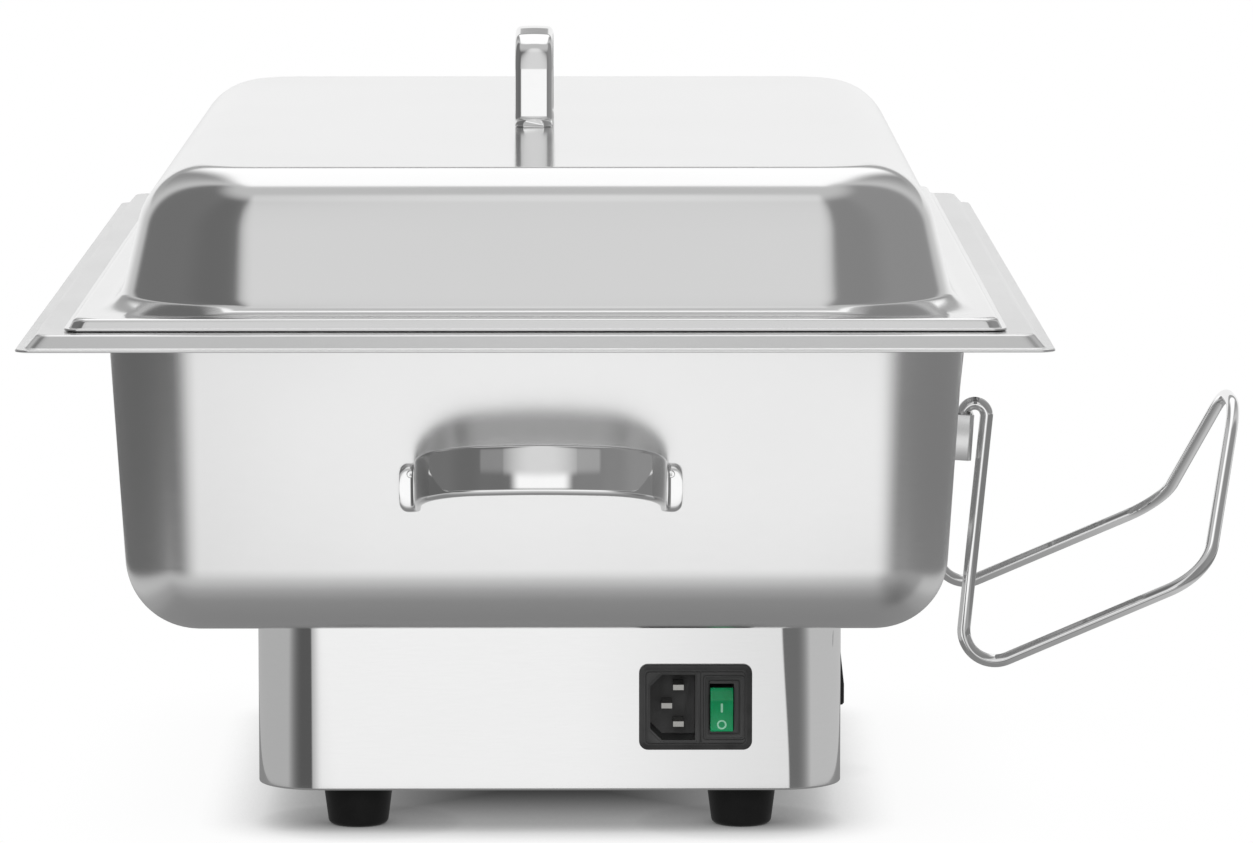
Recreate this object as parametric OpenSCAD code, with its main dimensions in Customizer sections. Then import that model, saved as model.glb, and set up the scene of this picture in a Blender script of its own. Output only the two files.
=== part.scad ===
// Electric chafing dish: a water tank on a heater base, a food pan, a lift-off lid and a wire lid holder.
// Millimetres. +Z is up, the mains inlet faces -Y, the lid holder hangs on the +X side.

/* [Rim and water tank] */
// Width of the tank's rim, side to side
rim_w = 370; // [360:1:400]
// Length of the tank's rim, front to back
rim_l = 575; // [555:1:620]
// Corner radius of the rim's outer edge
rim_r = 5; // [3:0.5:8]
// Width of the flat lip round the rim
lip_w = 3.5; // [2.5:0.5:5]
// Height of the step from the lip up to the shelf
step_h = 4.6; // [3:0.2:6]
// Width over which that step slants
step_w = 4; // [3:0.5:6]
// Distance from the rim's edge in to the top of the tank's wall
wall_in = 29.7; // [28:0.1:31]
// Height of the tank from its underside to its shelf
tank_h = 113.6; // [110:0.1:125]
// Lean of the tank's walls from upright, in degrees
tank_draft = 3.7; // [3:0.1:4.5]
// Radius of the tank's upright corners at the top
tank_r = 33; // [31:0.5:36]
// Radius between the tank's walls and its bottom
tank_bottom_r = 26; // [18:1:26]
// Radius between the tank's walls and its shelf
shelf_r = 3; // [2:0.5:4]
// Radius of the folds in the rim's step
fold_r = 1.6; // [1:0.1:2]
// Sheet thickness of the tank
tank_t = 1; // [0.8:0.1:1.2]

/* [Food pan] */
// Distance from the tank's rim edge in to the pan's rim edge
pan_in = 22.5; // [21.5:0.1:23.5]
// Width of the pan's flat rim
pan_rim_w = 11.5; // [11:0.1:13]
// Corner radius of the pan's rim
pan_rim_r = 12; // [8:1:20]
// Depth of the pan
pan_h = 65; // [40:1:65]
// Lean of the pan's walls from upright, in degrees
pan_draft = 5; // [4:0.5:7]
// Radius of the pan's upright corners at the top
pan_r = 40; // [36:1:46]
// Radius between the pan's walls and its bottom
pan_bottom_r = 14; // [8:1:18]
// Radius between the pan's walls and its rim
pan_fold_r = 3.5; // [2:0.5:4]
// Sheet thickness of the pan
pan_t = 0.8; // [0.6:0.1:1]

/* [Lid] */
// Distance from the tank's rim edge in to the lid's edge
lid_in = 16.2; // [15.5:0.1:17]
// Corner radius of the lid's edge
lid_edge_r = 5; // [3:0.5:8]
// Width of the lid's flat lip
lid_lip_w = 2; // [1.5:0.1:2.4]
// Height of the step from the lip up to the lid's flange
lid_step_h = 3.4; // [3:0.1:4.5]
// Width over which that step slants
lid_step_w = 1.7; // [1.4:0.1:2]
// Distance from the lid's edge in to the foot of its wall
lid_wall_in = 16.3; // [15:0.1:20]
// Height of the lid from its lip to its top
lid_h = 54.8; // [48:0.2:70]
// Lean of the lid's walls from upright, in degrees
lid_slope = 13.5; // [10:0.5:18]
// Radius of the lid's upright corners at the foot of the wall
lid_r = 50; // [43:1:54]
// Radius between the lid's walls and its top
lid_top_r = 26; // [16:1:28]
// Radius between the lid's flange and its walls
lid_foot_r = 8; // [4:0.5:9]
// Sheet thickness of the lid
lid_t = 0.8; // [0.6:0.1:1]

/* [Handles] */
// Thickness of the handle straps
strap_t = 3; // [2:0.1:4]
// Radius of the straps' edges
strap_edge_r = 1.3; // [0.5:0.1:1.4]
// Overall width of a tank handle with its welded tabs
bow_w = 102; // [92:1:120]
// Length of each welded tab
bow_tab = 6.2; // [5:0.1:8]
// Height of a tank handle's strap
bow_h = 17.3; // [14:0.1:22]
// How far a tank handle stands out from the wall
bow_out = 38; // [34:0.5:44]
// How far out the handle's shoulders are
bow_shoulder_out = 33; // [28:1:35]
// How far in the shoulders lie from the strap's feet
bow_shoulder_in = 1.7; // [1:0.1:4]
// Radius of the handle's shoulders
bow_shoulder_r = 26; // [14:1:27]
// Radius of the handle's front
bow_front_r = 110; // [60:5:115]
// Rise of a tank handle for each unit that it stands out
bow_rise = 0.389; // [0:0.005:0.5]
// Backward lean of a tank handle's front face, in degrees
bow_lean = 16; // [0:1:20]
// How far the front handle sits to the right of the tank's middle
bow_side = 1.7; // [-5:0.1:5]
// Depth of the tank handles' tabs below the shelf
bow_drop = 58.7; // [48:0.1:68]
// Width of the lid handle's strap
grip_w = 14.6; // [12:0.1:18]
// Overall length of the lid handle with its welded tabs
grip_l = 92; // [80:1:130]
// Length of each tab of the lid handle
grip_tab = 8; // [7:0.5:10]
// Height of the lid handle above the lid
grip_h = 36.5; // [32:0.5:45]
// Drop from the lid handle's crown to its shoulders
grip_crown = 2.5; // [1:0.5:4]
// How far in the lid handle's shoulders lie from its feet
grip_lean = 4; // [2:0.5:6]
// Radius of the lid handle's shoulders
grip_shoulder_r = 14; // [8:1:18]
// Radius of the lid handle's top
grip_front_r = 90; // [40:5:150]
// How far the lid handle sits to the right of the lid's middle
grip_side = -2.4; // [-5:0.1:5]

/* [Lid holder] */
// Diameter of the holder's wire
wire_d = 5; // [4.4:0.1:5.4]
// Distance between the holder's two arms
holder_span = 210; // [180:5:240]
// Gap between the two strands of each hook
hook_gap = 4.2; // [4:0.1:4.6]
// How far each hook reaches down into its pocket
hook_reach = 14; // [10:0.5:14]
// Height of the holder's legs, from the hooks down to the arms
leg_h = 106.5; // [90:0.5:115]
// How far the legs lean in towards the tank
leg_lean = 10.6; // [8:0.1:10.8]
// Radius of the bend from leg to arm
leg_bend_r = 12; // [8:1:16]
// How far the arms reach out
arm_out = 95.2; // [70:0.1:120]
// How far the arms rise
arm_rise = 40.7; // [20:0.1:50]
// How far the arch stands out past the arms
arch_out = 17.5; // [10:0.5:26]
// How far the arch rises past the arms
arch_rise = 54.9; // [40:0.1:70]
// Width of the arch's tip
arch_tip = 46; // [36:1:60]
// Radius of the bends at the arch's feet
arch_foot_r = 24; // [8:1:26]
// Radius of the bends at the arch's tip
arch_tip_r = 52; // [30:1:54]
// Depth of the holder's pockets below the shelf
pocket_drop = 48.6; // [40:0.1:60]
// Height of each pocket
pocket_h = 17.5; // [16:0.5:22]
// Width of each pocket along the tank
pocket_w = 18; // [14:1:24]
// How far each pocket stands out from the wall
pocket_out = 13.1; // [12:0.1:16]
// Length of each pocket's welded flanges
pocket_flange = 9; // [6:1:14]
// Sheet thickness of the pockets
pocket_t = 0.9; // [0.8:0.1:1.2]

/* [Base] */
// Width of the base
base_w = 221.5; // [212:0.5:230]
// Length of the base
base_l = 295; // [280:1:320]
// Height of the base's walls
base_h = 74.4; // [72:0.1:90]
// Radius of the base's upright corners
base_r = 24; // [18:1:30]
// How far the base sits to the right of the tank's middle
base_shift = 4; // [-6:1:6]
// Sheet thickness of the base
base_t = 1; // [0.8:0.1:1.2]
// Width of the flange that carries the tank
top_flange = 18; // [16:1:20]
// Width of the flange that the bottom plate screws to
bottom_flange = 14; // [12:1:16]
// Thickness of the bottom plate
plate_t = 1; // [0.8:0.1:1.5]
// How far the bottom plate lies up inside the walls
plate_up = 2.4; // [2.2:0.1:3]
// Length of each cooling slot in the bottom plate
vent_l = 34; // [20:1:40]
// Width of each cooling slot
vent_w = 4; // [3:0.5:5]
// Distance between cooling slots
vent_pitch = 12; // [9:1:14]
// Number of cooling slots in each row
vent_count = 7; // [3:1:9]

/* [Feet] */
// Height of the base above the table
foot_h = 16.5; // [12:0.5:24]
// Diameter of a foot at its top
foot_top_d = 28; // [24:1:32]
// Diameter of a foot at the table
foot_bottom_d = 23; // [20:1:26]
// Distance of a foot's middle in from the base's side
foot_in_x = 37.75; // [36:0.25:45]
// Distance of a foot's middle in from the base's front or back
foot_in_y = 23.5; // [22:0.5:30]
// Diameter of the screw recess under a foot
foot_recess_d = 11; // [10:0.5:13]
// Depth of that recess
foot_recess = 8; // [6:0.5:9]

/* [Inlet and switch] */
// Width of the inlet's bezel
bezel_w = 42.7; // [41:0.1:50]
// Height of the inlet's bezel
bezel_h = 32.6; // [31:0.1:40]
// Thickness of the bezel
bezel_t = 2.4; // [2:0.1:3]
// Corner radius of the bezel
bezel_r = 3.4; // [2:0.1:4]
// Distance from the base's middle to the inlet's middle
inlet_x = 55.2; // [50:0.1:60]
// Height of the inlet's middle above the base's lower edge
inlet_up = 32; // [28:0.5:38]
// How much the bezel covers round the cut-out
bezel_lap = 1.8; // [1.5:0.1:2.2]
// Depth of the inlet's body behind the bezel
inlet_depth = 27; // [25:0.5:32]
// Width of the plug socket
socket_w = 17; // [16.5:0.1:17.2]
// Height of the socket
socket_h = 25; // [24.4:0.1:25.4]
// Depth of the socket
socket_depth = 17; // [16:0.5:19]
// Size of the socket's two cut corners
socket_cut = 4.5; // [4:0.1:5]
// Distance from the bezel's left edge to the socket's middle
socket_from_left = 12.7; // [12:0.1:13]
// Width of the lead-in round the socket's mouth
socket_lead_in = 0.6; // [0.2:0.1:0.8]
// Distance between the two line pins
pin_pitch = 14; // [13.8:0.1:14.2]
// Distance of the earth pin from the row of line pins
earth_off = 4.4; // [4:0.1:5]
// Width of a pin's blade
pin_w = 4; // [3.8:0.1:4.2]
// Thickness of a pin's blade
pin_t = 2; // [1.8:0.1:2.2]
// How far the pins stand back inside the socket's mouth
pin_back = 4.6; // [4.5:0.1:6]
// Distance from the bezel's right edge to the rocker's middle
rocker_from_right = 11.5; // [10.5:0.1:12]
// Width of the rocker
rocker_w = 8.6; // [8:0.1:9]
// Height of the rocker
rocker_h = 16.7; // [14:0.1:17]
// Travel of the rocker, in degrees
rocker_travel = 16; // [10:1:18]
// Distance from the bezel's right edge to the recess's middle
recess_from_right = 10.6; // [10.4:0.1:11]
// Width of the recess round the rocker
recess_w = 14.4; // [14:0.1:15]
// Height of the recess
recess_h = 23.2; // [22:0.1:25]
// Depth of the recess
recess_depth = 1.4; // [1:0.1:1.6]

/* [Thermostat and heater] */
// Diameter of the thermostat's knob
knob_d = 36; // [34:1:40]
// How far the knob stands out from the base
knob_out = 5.4; // [5.2:0.1:12]
// Thickness of the knob's skirt
knob_skirt = 1.8; // [1.4:0.1:2.2]
// Width of the knob's grip
knob_grip_w = 11; // [9:0.5:14]
// Distance of the knob's middle from the base's middle, towards the front
knob_fore = 9; // [0:1:30]
// Height of the knob's middle above the base's lower edge
knob_up = 25.5; // [24:0.5:34]
// Diameter of the thermostat's spindle
spindle_d = 6; // [5:0.1:7]
// Size of the thermostat's square body
thermostat_w = 34; // [30:1:38]
// Depth of the thermostat's body
thermostat_depth = 24; // [20:1:26]
// Width of the heat-spreading plate
spreader_w = 150; // [144:1:156]
// Length of the heat-spreading plate
spreader_l = 210; // [205:1:225]
// Thickness of the heat-spreading plate
spreader_t = 4; // [3:0.5:6]
// Diameter of the heating tube
tube_d = 6.6; // [6:0.1:8]
// Distance between the heating tube's two legs
tube_span = 80; // [70:1:84]
// Length of the heating tube's straight legs
tube_leg = 130; // [120:1:140]
// Drop from the spreader plate to the heat shield
shield_drop = 26; // [25:0.5:28]
// Diameter of the thermostat's bulb
bulb_d = 6; // [5:0.1:6.2]
// Length of the thermostat's bulb
bulb_l = 90; // [85:1:100]
// Diameter of the thermal cut-out
cutout_d = 16; // [14:0.5:18]
// Diameter of the insulated leads
lead_d = 2.6; // [2:0.1:3]
// Diameter of the thermostat's capillary
capillary_d = 1.6; // [1.2:0.1:2]

/* [Hidden] */
$fn = 48;
// Running clearance of a turning spindle or pivot in its bore
run_gap = 0.08;
// Clearance between a thread and its nut
thread_gap = 0.06;
// Clearance of a fastener or a fixed piece in its hole
fit_gap = 0.15;
// Gap between a lifting piece and its seat
seat_gap = 0.3;
// Gap that a weld fills
weld_gap = 0.05;
// Small overlap that makes cuts clean
cut = 0.5;
// Least straight length left between two bends
bend_slack = 0.1;
// Least corner radius of a pressing
least_r = 1.2;
// Largest turn between two stations of a bend, in degrees
bend_step = 13;
// Stations round each upright corner of a pressing
corner_steps = 8;

// Levels, from the table up
plate_z = foot_h + plate_up;
flange_z = plate_z + plate_t;
base_top = foot_h + base_h;
shelf_z = base_top + tank_h;
shelf_mid = shelf_z - tank_t / 2;
lid_lip_z = shelf_z + seat_gap;
lid_top = lid_lip_z + lid_h;
spreader_z = base_top - spreader_t;
shield_z = spreader_z - shield_drop;
shield_t = 0.8;

// Faces of the tank's walls and of the base's walls
tank_lean = tan(tank_draft);
wall_face = tank_t / 2 / cos(tank_draft);
function tank_wall_in(z) = wall_in + tank_lean * (shelf_mid - z) - wall_face;
function tank_side(z) = rim_w / 2 - tank_wall_in(z);
function tank_front(z) = rim_l / 2 - tank_wall_in(z);
base_front = base_l / 2;
base_side = base_w / 2;

// Places of the holder's wire: the tops of its hooks, and then outwards
wire_r = wire_d / 2;
pocket_top = shelf_z - pocket_drop;
pocket_mid = pocket_top - pocket_h / 2;
pocket_face = tank_side(pocket_top) + pocket_out;
strand = wire_d + hook_gap;
hook_x = pocket_face - pocket_t / cos(tank_draft) - seat_gap - wire_r;
hook_z = pocket_top + seat_gap + wire_r;
leg_x = hook_x + strand - leg_lean;
leg_z = hook_z - leg_h;
arm_x = leg_x + arm_out;
arm_z = leg_z + arm_rise;
arch_x = arm_x + arch_out;
arch_z = arm_z + arch_rise;
arm_y = holder_span / 2;

// The whole part is centred over its table outline
centre_x = (rim_w / 2 - arch_x - wire_r) / 2;

// Places in the base
function four_places(x, y) = [for (sx = [-1, 1], sy = [-1, 1]) [sx * x, sy * y]];
foot_places = four_places(base_side - foot_in_x, base_front - foot_in_y);
stud_past_corner = 10;
stud_places = four_places(base_side - top_flange / 2, base_front - base_r - stud_past_corner);
screw_x = base_side - base_t - bottom_flange / 2;
screw_y = base_front - base_t - bottom_flange / 2;
screw_off = 60;
screw_places = concat(four_places(screw_x, screw_off), [[0, screw_y], [0, -screw_y]]);
knob_y = -knob_fore;
knob_z = foot_h + knob_up;
inlet_z = foot_h + inlet_up;
inlet_back = -base_front + inlet_depth;
socket_x = inlet_x - bezel_w / 2 + socket_from_left;
pin_row = socket_x + earth_off / 2;
pin_places = [[pin_row, pin_pitch / 2], [pin_row, -pin_pitch / 2], [pin_row - earth_off, 0]];
rocker_x = inlet_x + bezel_w / 2 - rocker_from_right;
recess_x = inlet_x + bezel_w / 2 - recess_from_right;
rocker_pivot_in = 3.2;
rocker_pivot = -base_front + rocker_pivot_in;
thermostat_in = base_side - base_t - thermostat_depth;

// Places of the heater
tube_z = spreader_z - tube_d / 2;
tube_front = -(tube_leg + tube_span / 2) / 2;
tube_back = tube_front + tube_leg;
tube_pin = 12;
tube_pin_d = 3;
clamp_t = 1.5;
clamp_w = 12;
clamp_room = 5;
clamp_first = 38;
clamp_pitch = 70;
clamp_z = spreader_z - tube_d - clamp_t;
clamp_side = tube_span / 2 + tube_d / 2 + clamp_room;
clamp_foot = 11;
clamp_places = [tube_front + clamp_first, tube_front + clamp_first + clamp_pitch];
clamp_screw_x = clamp_side + clamp_t + clamp_foot / 2;
bulb_x = 20;
bulb_past_clamp = 12;
bulb_front = clamp_places[0] - bulb_past_clamp;
bulb_z = spreader_z - bulb_d / 2 - weld_gap;
cutout_past_tube = 6;
cutout_y = tube_back + cutout_past_tube;
cutout_h = 9;
cutout_tab_x = 4;
spacer_in_x = 16;
spacer_in_y = 8;
spacer_places = four_places(spreader_w / 2 - spacer_in_x, spreader_l / 2 - spacer_in_y);
spacer_d = 8;
spacer_bore = 8;
plate_r = 6;
shield_in = 10;
earth_place = [-60, -95];

// Fasteners and flat tabs
m3 = 3;
m4 = 4;
m6 = 6;
m3_head_d = 5.6;
m3_head_h = 2;
m4_head_d = 7.5;
m4_head_h = 2.6;
washer_head_d = 8;
earth_head_h = 1.5;
m4_nut_w = 7;
m4_nut_h = 3.2;
m6_nut_w = 10;
m6_nut_h = 5;
stud_len = 11;
foot_screw_tail = 5;
plate_screw_tail = 4;
earth_tail = 12;
blind_hole = 6;
tab_len = 9;
tab_w = 6;
tab_t = 0.8;

// Thermostat
thermostat_screw_y = [-14, 14];
thermostat_screw_in = 5;
thermostat_tab_y = 9;
thermostat_tab_z = 4;
spindle_in = 12;
spindle_room = 1.5;
knob_gap = 0.6;
knob_roof = 1.2;
knob_edge = 1;
knob_slope_end = 0.6;
knob_hub_wall = 2;
knob_bore = knob_out - knob_gap - knob_roof;
thermostat_screw_head = 0.36;

// Inlet and rocker
bezel_edge_t = 1.56;
bezel_edge_in = 0.6;
inlet_body_w = bezel_w - 2 * bezel_lap;
inlet_body_h = bezel_h - 2 * bezel_lap;
socket_floor = -base_front - bezel_t + socket_depth;
switch_tab_z = 6;
switch_tab_in = 5;
rocker_proud = 2.6;
rocker_heel = 3;
rocker_taper = 1.67;
rocker_room = 0.6;
rocker_well = 9;
rocker_pin_d = 2.4;
rocker_pin_out = 1.6;
rocker_pin_end = 0.4;

// Feet
foot_edge_r = 2.5;

// Handles and holder
strap_root_r = 2.4;
bow_z = shelf_z - bow_drop;
grip_mid = grip_h - strap_t / 2;
hook_bend_r = strand / 2 - bend_slack;
hook_lean = tank_lean * hook_reach;

// Helpers: vectors, bends and pressed forms

function unit(v) = v / norm(v);
function left_of(d) = [-d.y, d.x];

// Stations along a line whose corners are rounded, each with its direction
function bend(pts, radii) = [
  [pts[0], unit(pts[1] - pts[0])],
  for (i = [1 : len(pts) - 2])
    let (a = unit(pts[i] - pts[i - 1]))
    let (b = unit(pts[i + 1] - pts[i]))
    let (turn = acos(a * b))
    let (n = unit(b - a * (a * b)))
    let (start = pts[i] - a * radii[i] * tan(turn / 2))
    let (steps = max(2, ceil(turn / bend_step)))
    for (k = [0 : steps])
      let (w = turn * k / steps)
      [start + radii[i] * (a * sin(w) + n * (1 - cos(w))), a * cos(w) + n * sin(w)],
  [pts[len(pts) - 1], unit(pts[len(pts) - 1] - pts[len(pts) - 2])]
];

// A closed surface through a row of rings with as many points each
module skin(rings) {
  n = len(rings[0]);
  m = len(rings);
  sides = [
    for (i = [0 : m - 2], j = [0 : n - 1])
      let (a = i * n + j)
      let (b = i * n + (j + 1) % n)
      each [[a, b + n, b], [a, a + n, b + n]]
  ];
  first = [for (j = [0 : n - 1]) j];
  last = [for (j = [n - 1 : -1 : 0]) (m - 1) * n + j];
  polyhedron([for (r = rings) each r], concat(sides, [first, last]));
}

// A level ring with rounded corners
function corner_ring(hx, hy, r, z) = [
  for (c = [0 : 3], k = [0 : corner_steps])
    let (w = 90 * (c + k / corner_steps))
    let (sx = c == 0 || c == 3 ? 1 : -1)
    let (sy = c < 2 ? 1 : -1)
    [sx * (hx - r) + r * cos(w), sy * (hy - r) + r * sin(w), z]
];

// The two faces of a sheet that follows a section line: the lower face outwards, the upper face back
function sheet_faces(line, t) = concat(
  [for (p = line) p[0] - left_of(p[1]) * t / 2],
  [for (i = [len(line) - 1 : -1 : 0]) line[i][0] + left_of(line[i][1]) * t / 2]
);

// Corner radius of a pressing at a distance in from its edge
function press_r(u, edge_r, flat_in, wall_in, wall_r) =
  u < flat_in ? edge_r
  : u < wall_in ? edge_r + (wall_r - edge_r) * (u - flat_in) / (wall_in - flat_in)
  : max(least_r, wall_r - (u - wall_in));

// A swept strap or wire: rings of a section along a bent line, kept level with a first side direction
function sweep_rings(line, section, side) =
  let (sides = [
    for (i = 0, s = side; i < len(line); i = i + 1, s = i < len(line) ? turned(s, line[i][1]) : s)
      unit(turned(s, line[i][1]))
  ])
  [
    for (i = [0 : len(line) - 1])
      let (up = cross(line[i][1], sides[i]))
      [for (p = section) line[i][0] + sides[i] * p.x + up * p.y]
  ];
function turned(s, d) = unit(s - d * (s * d));

function circle_section(r, count) = [
  for (k = [0 : count - 1])
    let (w = 360 * k / count)
    r * [cos(w), sin(w)]
];
function strap_section(t, h, r) = [
  for (c = [0 : 3], k = [0 : 2])
    let (w = 90 * c + 45 * k)
    let (sx = c == 0 || c == 3 ? 1 : -1)
    let (sy = c < 2 ? 1 : -1)
    [sx * (t / 2 - r) + r * cos(w), sy * (h / 2 - r) + r * sin(w)]
];

module place() {
  translate([centre_x, 0, 0]) children();
}
module place_base() {
  translate([centre_x + base_shift, 0, 0]) children();
}
module round_rect(w, l, r) {
  square([w - 2 * r, l], center = true);
  square([w, l - 2 * r], center = true);
  for (x = [-1, 1], y = [-1, 1]) translate([x * (w / 2 - r), y * (l / 2 - r)]) circle(r);
}
module round_frame(w, l, r, band) {
  difference() {
    round_rect(w, l, r);
    round_rect(w - 2 * band, l - 2 * band, max(1, r - band));
  }
}
// A part turned so that its own +Z points along -Y, out of the base's front
module face_front() {
  rotate([90, 0, 0]) children();
}
// A part turned so that its own +Z points along +X, out of the base's right side
module face_right() {
  rotate([0, 90, 0]) children();
}
module hex_nut(across, thick, bore) {
  difference() {
    cylinder(d = across / cos(30), h = thick, $fn = 6);
    translate([0, 0, -cut]) cylinder(d = bore, h = thick + 2 * cut);
  }
}
// A screw with a low round head, its head's seat at the origin and its shank along +Z
module pan_screw(d, len, head_d, head_h) {
  cylinder(d = d, h = len);
  translate([0, 0, -head_h]) cylinder(d = head_d, h = head_h);
}
module lead_tube(pts, d, bend_r) {
  line = bend(pts, [for (p = pts) bend_r]);
  skin(sweep_rings(line, circle_section(d / 2, 8), turned([0.31, 0.17, 0.93], line[0][1])));
}

// Base

// A hole for a fastener, cut through a sheet whose lower face is at the origin
module sheet_hole(d, t) {
  translate([0, 0, -cut]) cylinder(d = d + 2 * fit_gap, h = t + 2 * cut);
}

module base_housing() color("gainsboro") place_base() difference() {
  union() {
    translate([0, 0, foot_h]) linear_extrude(base_h) round_frame(base_w, base_l, base_r, base_t);
    translate([0, 0, base_top - base_t]) linear_extrude(base_t)
      round_frame(base_w, base_l, base_r, top_flange);
    translate([0, 0, flange_z]) linear_extrude(base_t)
      round_frame(base_w, base_l, base_r, bottom_flange + base_t);
  }
  for (p = stud_places) translate([p.x, p.y, base_top - base_t]) sheet_hole(m6, base_t);
  for (p = screw_places) translate([p.x, p.y, flange_z]) sheet_hole(m3, base_t);
  translate([inlet_x, -base_front + base_t + cut, inlet_z]) face_front() linear_extrude(base_t + 2 * cut)
    square([inlet_body_w + 2 * fit_gap, inlet_body_h + 2 * fit_gap], center = true);
  translate([base_side - base_t, knob_y, knob_z]) face_right() {
    sheet_hole(spindle_d + 2 * spindle_room - 2 * fit_gap, base_t);
    for (y = thermostat_screw_y) translate([0, y, 0]) sheet_hole(m3, base_t);
  }
}

plate_w = base_w - 2 * base_t - 2 * fit_gap;
plate_l = base_l - 2 * base_t - 2 * fit_gap;
module base_plate() color("silver") place_base() difference() {
  translate([0, 0, plate_z]) linear_extrude(plate_t) round_rect(plate_w, plate_l, base_r - base_t - fit_gap);
  for (p = foot_places) translate([p.x, p.y, plate_z]) sheet_hole(m4, plate_t);
  for (p = screw_places) translate([p.x, p.y, plate_z]) sheet_hole(m3, plate_t);
  translate([earth_place.x, earth_place.y, plate_z]) sheet_hole(m4, plate_t);
  for (i = [0 : vent_count - 1], side = [-1, 1])
    translate([side * vent_l, (i - (vent_count - 1) / 2) * vent_pitch, plate_z - cut])
      linear_extrude(plate_t + 2 * cut) round_slot(vent_l, vent_w);
}
module round_slot(l, w) {
  square([l - w, w], center = true);
  for (x = [-1, 1]) translate([x * (l - w) / 2, 0]) circle(d = w);
}

module foot(p) {
  wall = (foot_top_d - foot_bottom_d) / 2 / plate_z;
  bottom_r = foot_bottom_d / 2;
  bore_r = m4 / 2 + fit_gap;
  color([0.09, 0.09, 0.09]) place_base() translate([p.x, p.y, 0]) rotate_extrude() difference() {
    polygon([
      [bore_r, 0],
      [bottom_r - foot_edge_r, 0],
      [bottom_r, foot_edge_r],
      [bottom_r + wall * (plate_z - foot_edge_r), plate_z],
      [bore_r, plate_z]
    ]);
    translate([0, -cut]) square([foot_recess_d / 2, foot_recess + cut]);
  }
}
module foot_front_left() foot(foot_places[0]);
module foot_rear_left() foot(foot_places[1]);
module foot_front_right() foot(foot_places[2]);
module foot_rear_right() foot(foot_places[3]);

module foot_screws() color("silver") place_base() for (p = foot_places)
  translate([p.x, p.y, foot_recess])
    pan_screw(m4, flange_z - foot_recess + foot_screw_tail, washer_head_d, m4_head_h);
module foot_nuts() color("silver") place_base() for (p = foot_places)
  translate([p.x, p.y, flange_z]) hex_nut(m4_nut_w, m4_nut_h, m4 + 2 * thread_gap);
module plate_screws() color("silver") place_base() for (p = screw_places)
  translate([p.x, p.y, plate_z]) pan_screw(m3, plate_t + base_t + plate_screw_tail, m3_head_d, m3_head_h);

module earth_stud() color("silver") place_base()
  translate([earth_place.x, earth_place.y, plate_z])
    pan_screw(m4, plate_t + earth_tail, washer_head_d, earth_head_h);
module earth_nut() color("gold") place_base()
  translate([earth_place.x, earth_place.y, flange_z]) hex_nut(m4_nut_w, m4_nut_h, m4 + 2 * thread_gap);

// Tank, food pan and lid

tank_line = bend(
  [
    [-rim_w / 4, base_top + tank_t / 2],
    [-wall_in - tank_lean * (shelf_mid - base_top - tank_t / 2), base_top + tank_t / 2],
    [-wall_in, shelf_mid],
    [-lip_w - step_w, shelf_mid],
    [-lip_w, shelf_mid - step_h],
    [0, shelf_mid - step_h]
  ],
  [0, tank_bottom_r, shelf_r, fold_r, fold_r, 0]
);
module water_tank() color("gainsboro") place() skin([
  for (p = sheet_faces([for (i = [1 : len(tank_line) - 1]) tank_line[i]], tank_t))
    let (u = -p.x)
    corner_ring(rim_w / 2 - u, rim_l / 2 - u, press_r(u, rim_r, lip_w + step_w, wall_in, tank_r), p.y)
]);

pan_w = rim_w - 2 * pan_in;
pan_l = rim_l - 2 * pan_in;
pan_rim_mid = shelf_z + seat_gap + pan_t / 2;
pan_line = bend(
  [
    [-pan_w / 4, pan_rim_mid - pan_h],
    [-pan_rim_w - tan(pan_draft) * pan_h, pan_rim_mid - pan_h],
    [-pan_rim_w, pan_rim_mid],
    [0, pan_rim_mid]
  ],
  [0, pan_bottom_r, pan_fold_r, 0]
);
module food_pan() color("silver") place() skin([
  for (p = sheet_faces([for (i = [1 : len(pan_line) - 1]) pan_line[i]], pan_t))
    let (u = -p.x)
    corner_ring(pan_w / 2 - u, pan_l / 2 - u, press_r(u, pan_rim_r, 0, pan_rim_w, pan_r), p.y)
]);

lid_w = rim_w - 2 * lid_in;
lid_l = rim_l - 2 * lid_in;
lid_lip_mid = lid_lip_z + lid_t / 2;
lid_top_mid = lid_top - lid_t / 2;
lid_flange_mid = lid_lip_mid + lid_step_h;
lid_line = bend(
  [
    [-lid_w / 4, lid_top_mid],
    [-lid_wall_in - tan(lid_slope) * (lid_top_mid - lid_flange_mid), lid_top_mid],
    [-lid_wall_in, lid_flange_mid],
    [-lid_lip_w - lid_step_w, lid_flange_mid],
    [-lid_lip_w, lid_lip_mid],
    [0, lid_lip_mid]
  ],
  [0, lid_top_r, lid_foot_r, lid_t, lid_t, 0]
);
module lid_shell() color("gainsboro") place() skin([
  for (p = sheet_faces([for (i = [1 : len(lid_line) - 1]) lid_line[i]], lid_t))
    let (u = -p.x)
    let (r = press_r(u, lid_edge_r, lid_lip_w + lid_step_w, lid_wall_in, lid_r))
    corner_ring(lid_w / 2 - u, lid_l / 2 - u, r, p.y)
]);

// Tank fixings

module tank_studs() color("silver") place_base() for (p = stud_places)
  translate([p.x, p.y, base_top - stud_len]) cylinder(d = m6, h = stud_len);
module stud_nuts() color("silver") place_base() for (p = stud_places)
  translate([p.x, p.y, base_top - base_t - m6_nut_h]) hex_nut(m6_nut_w, m6_nut_h, m6 + 2 * thread_gap);

// Handles

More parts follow.
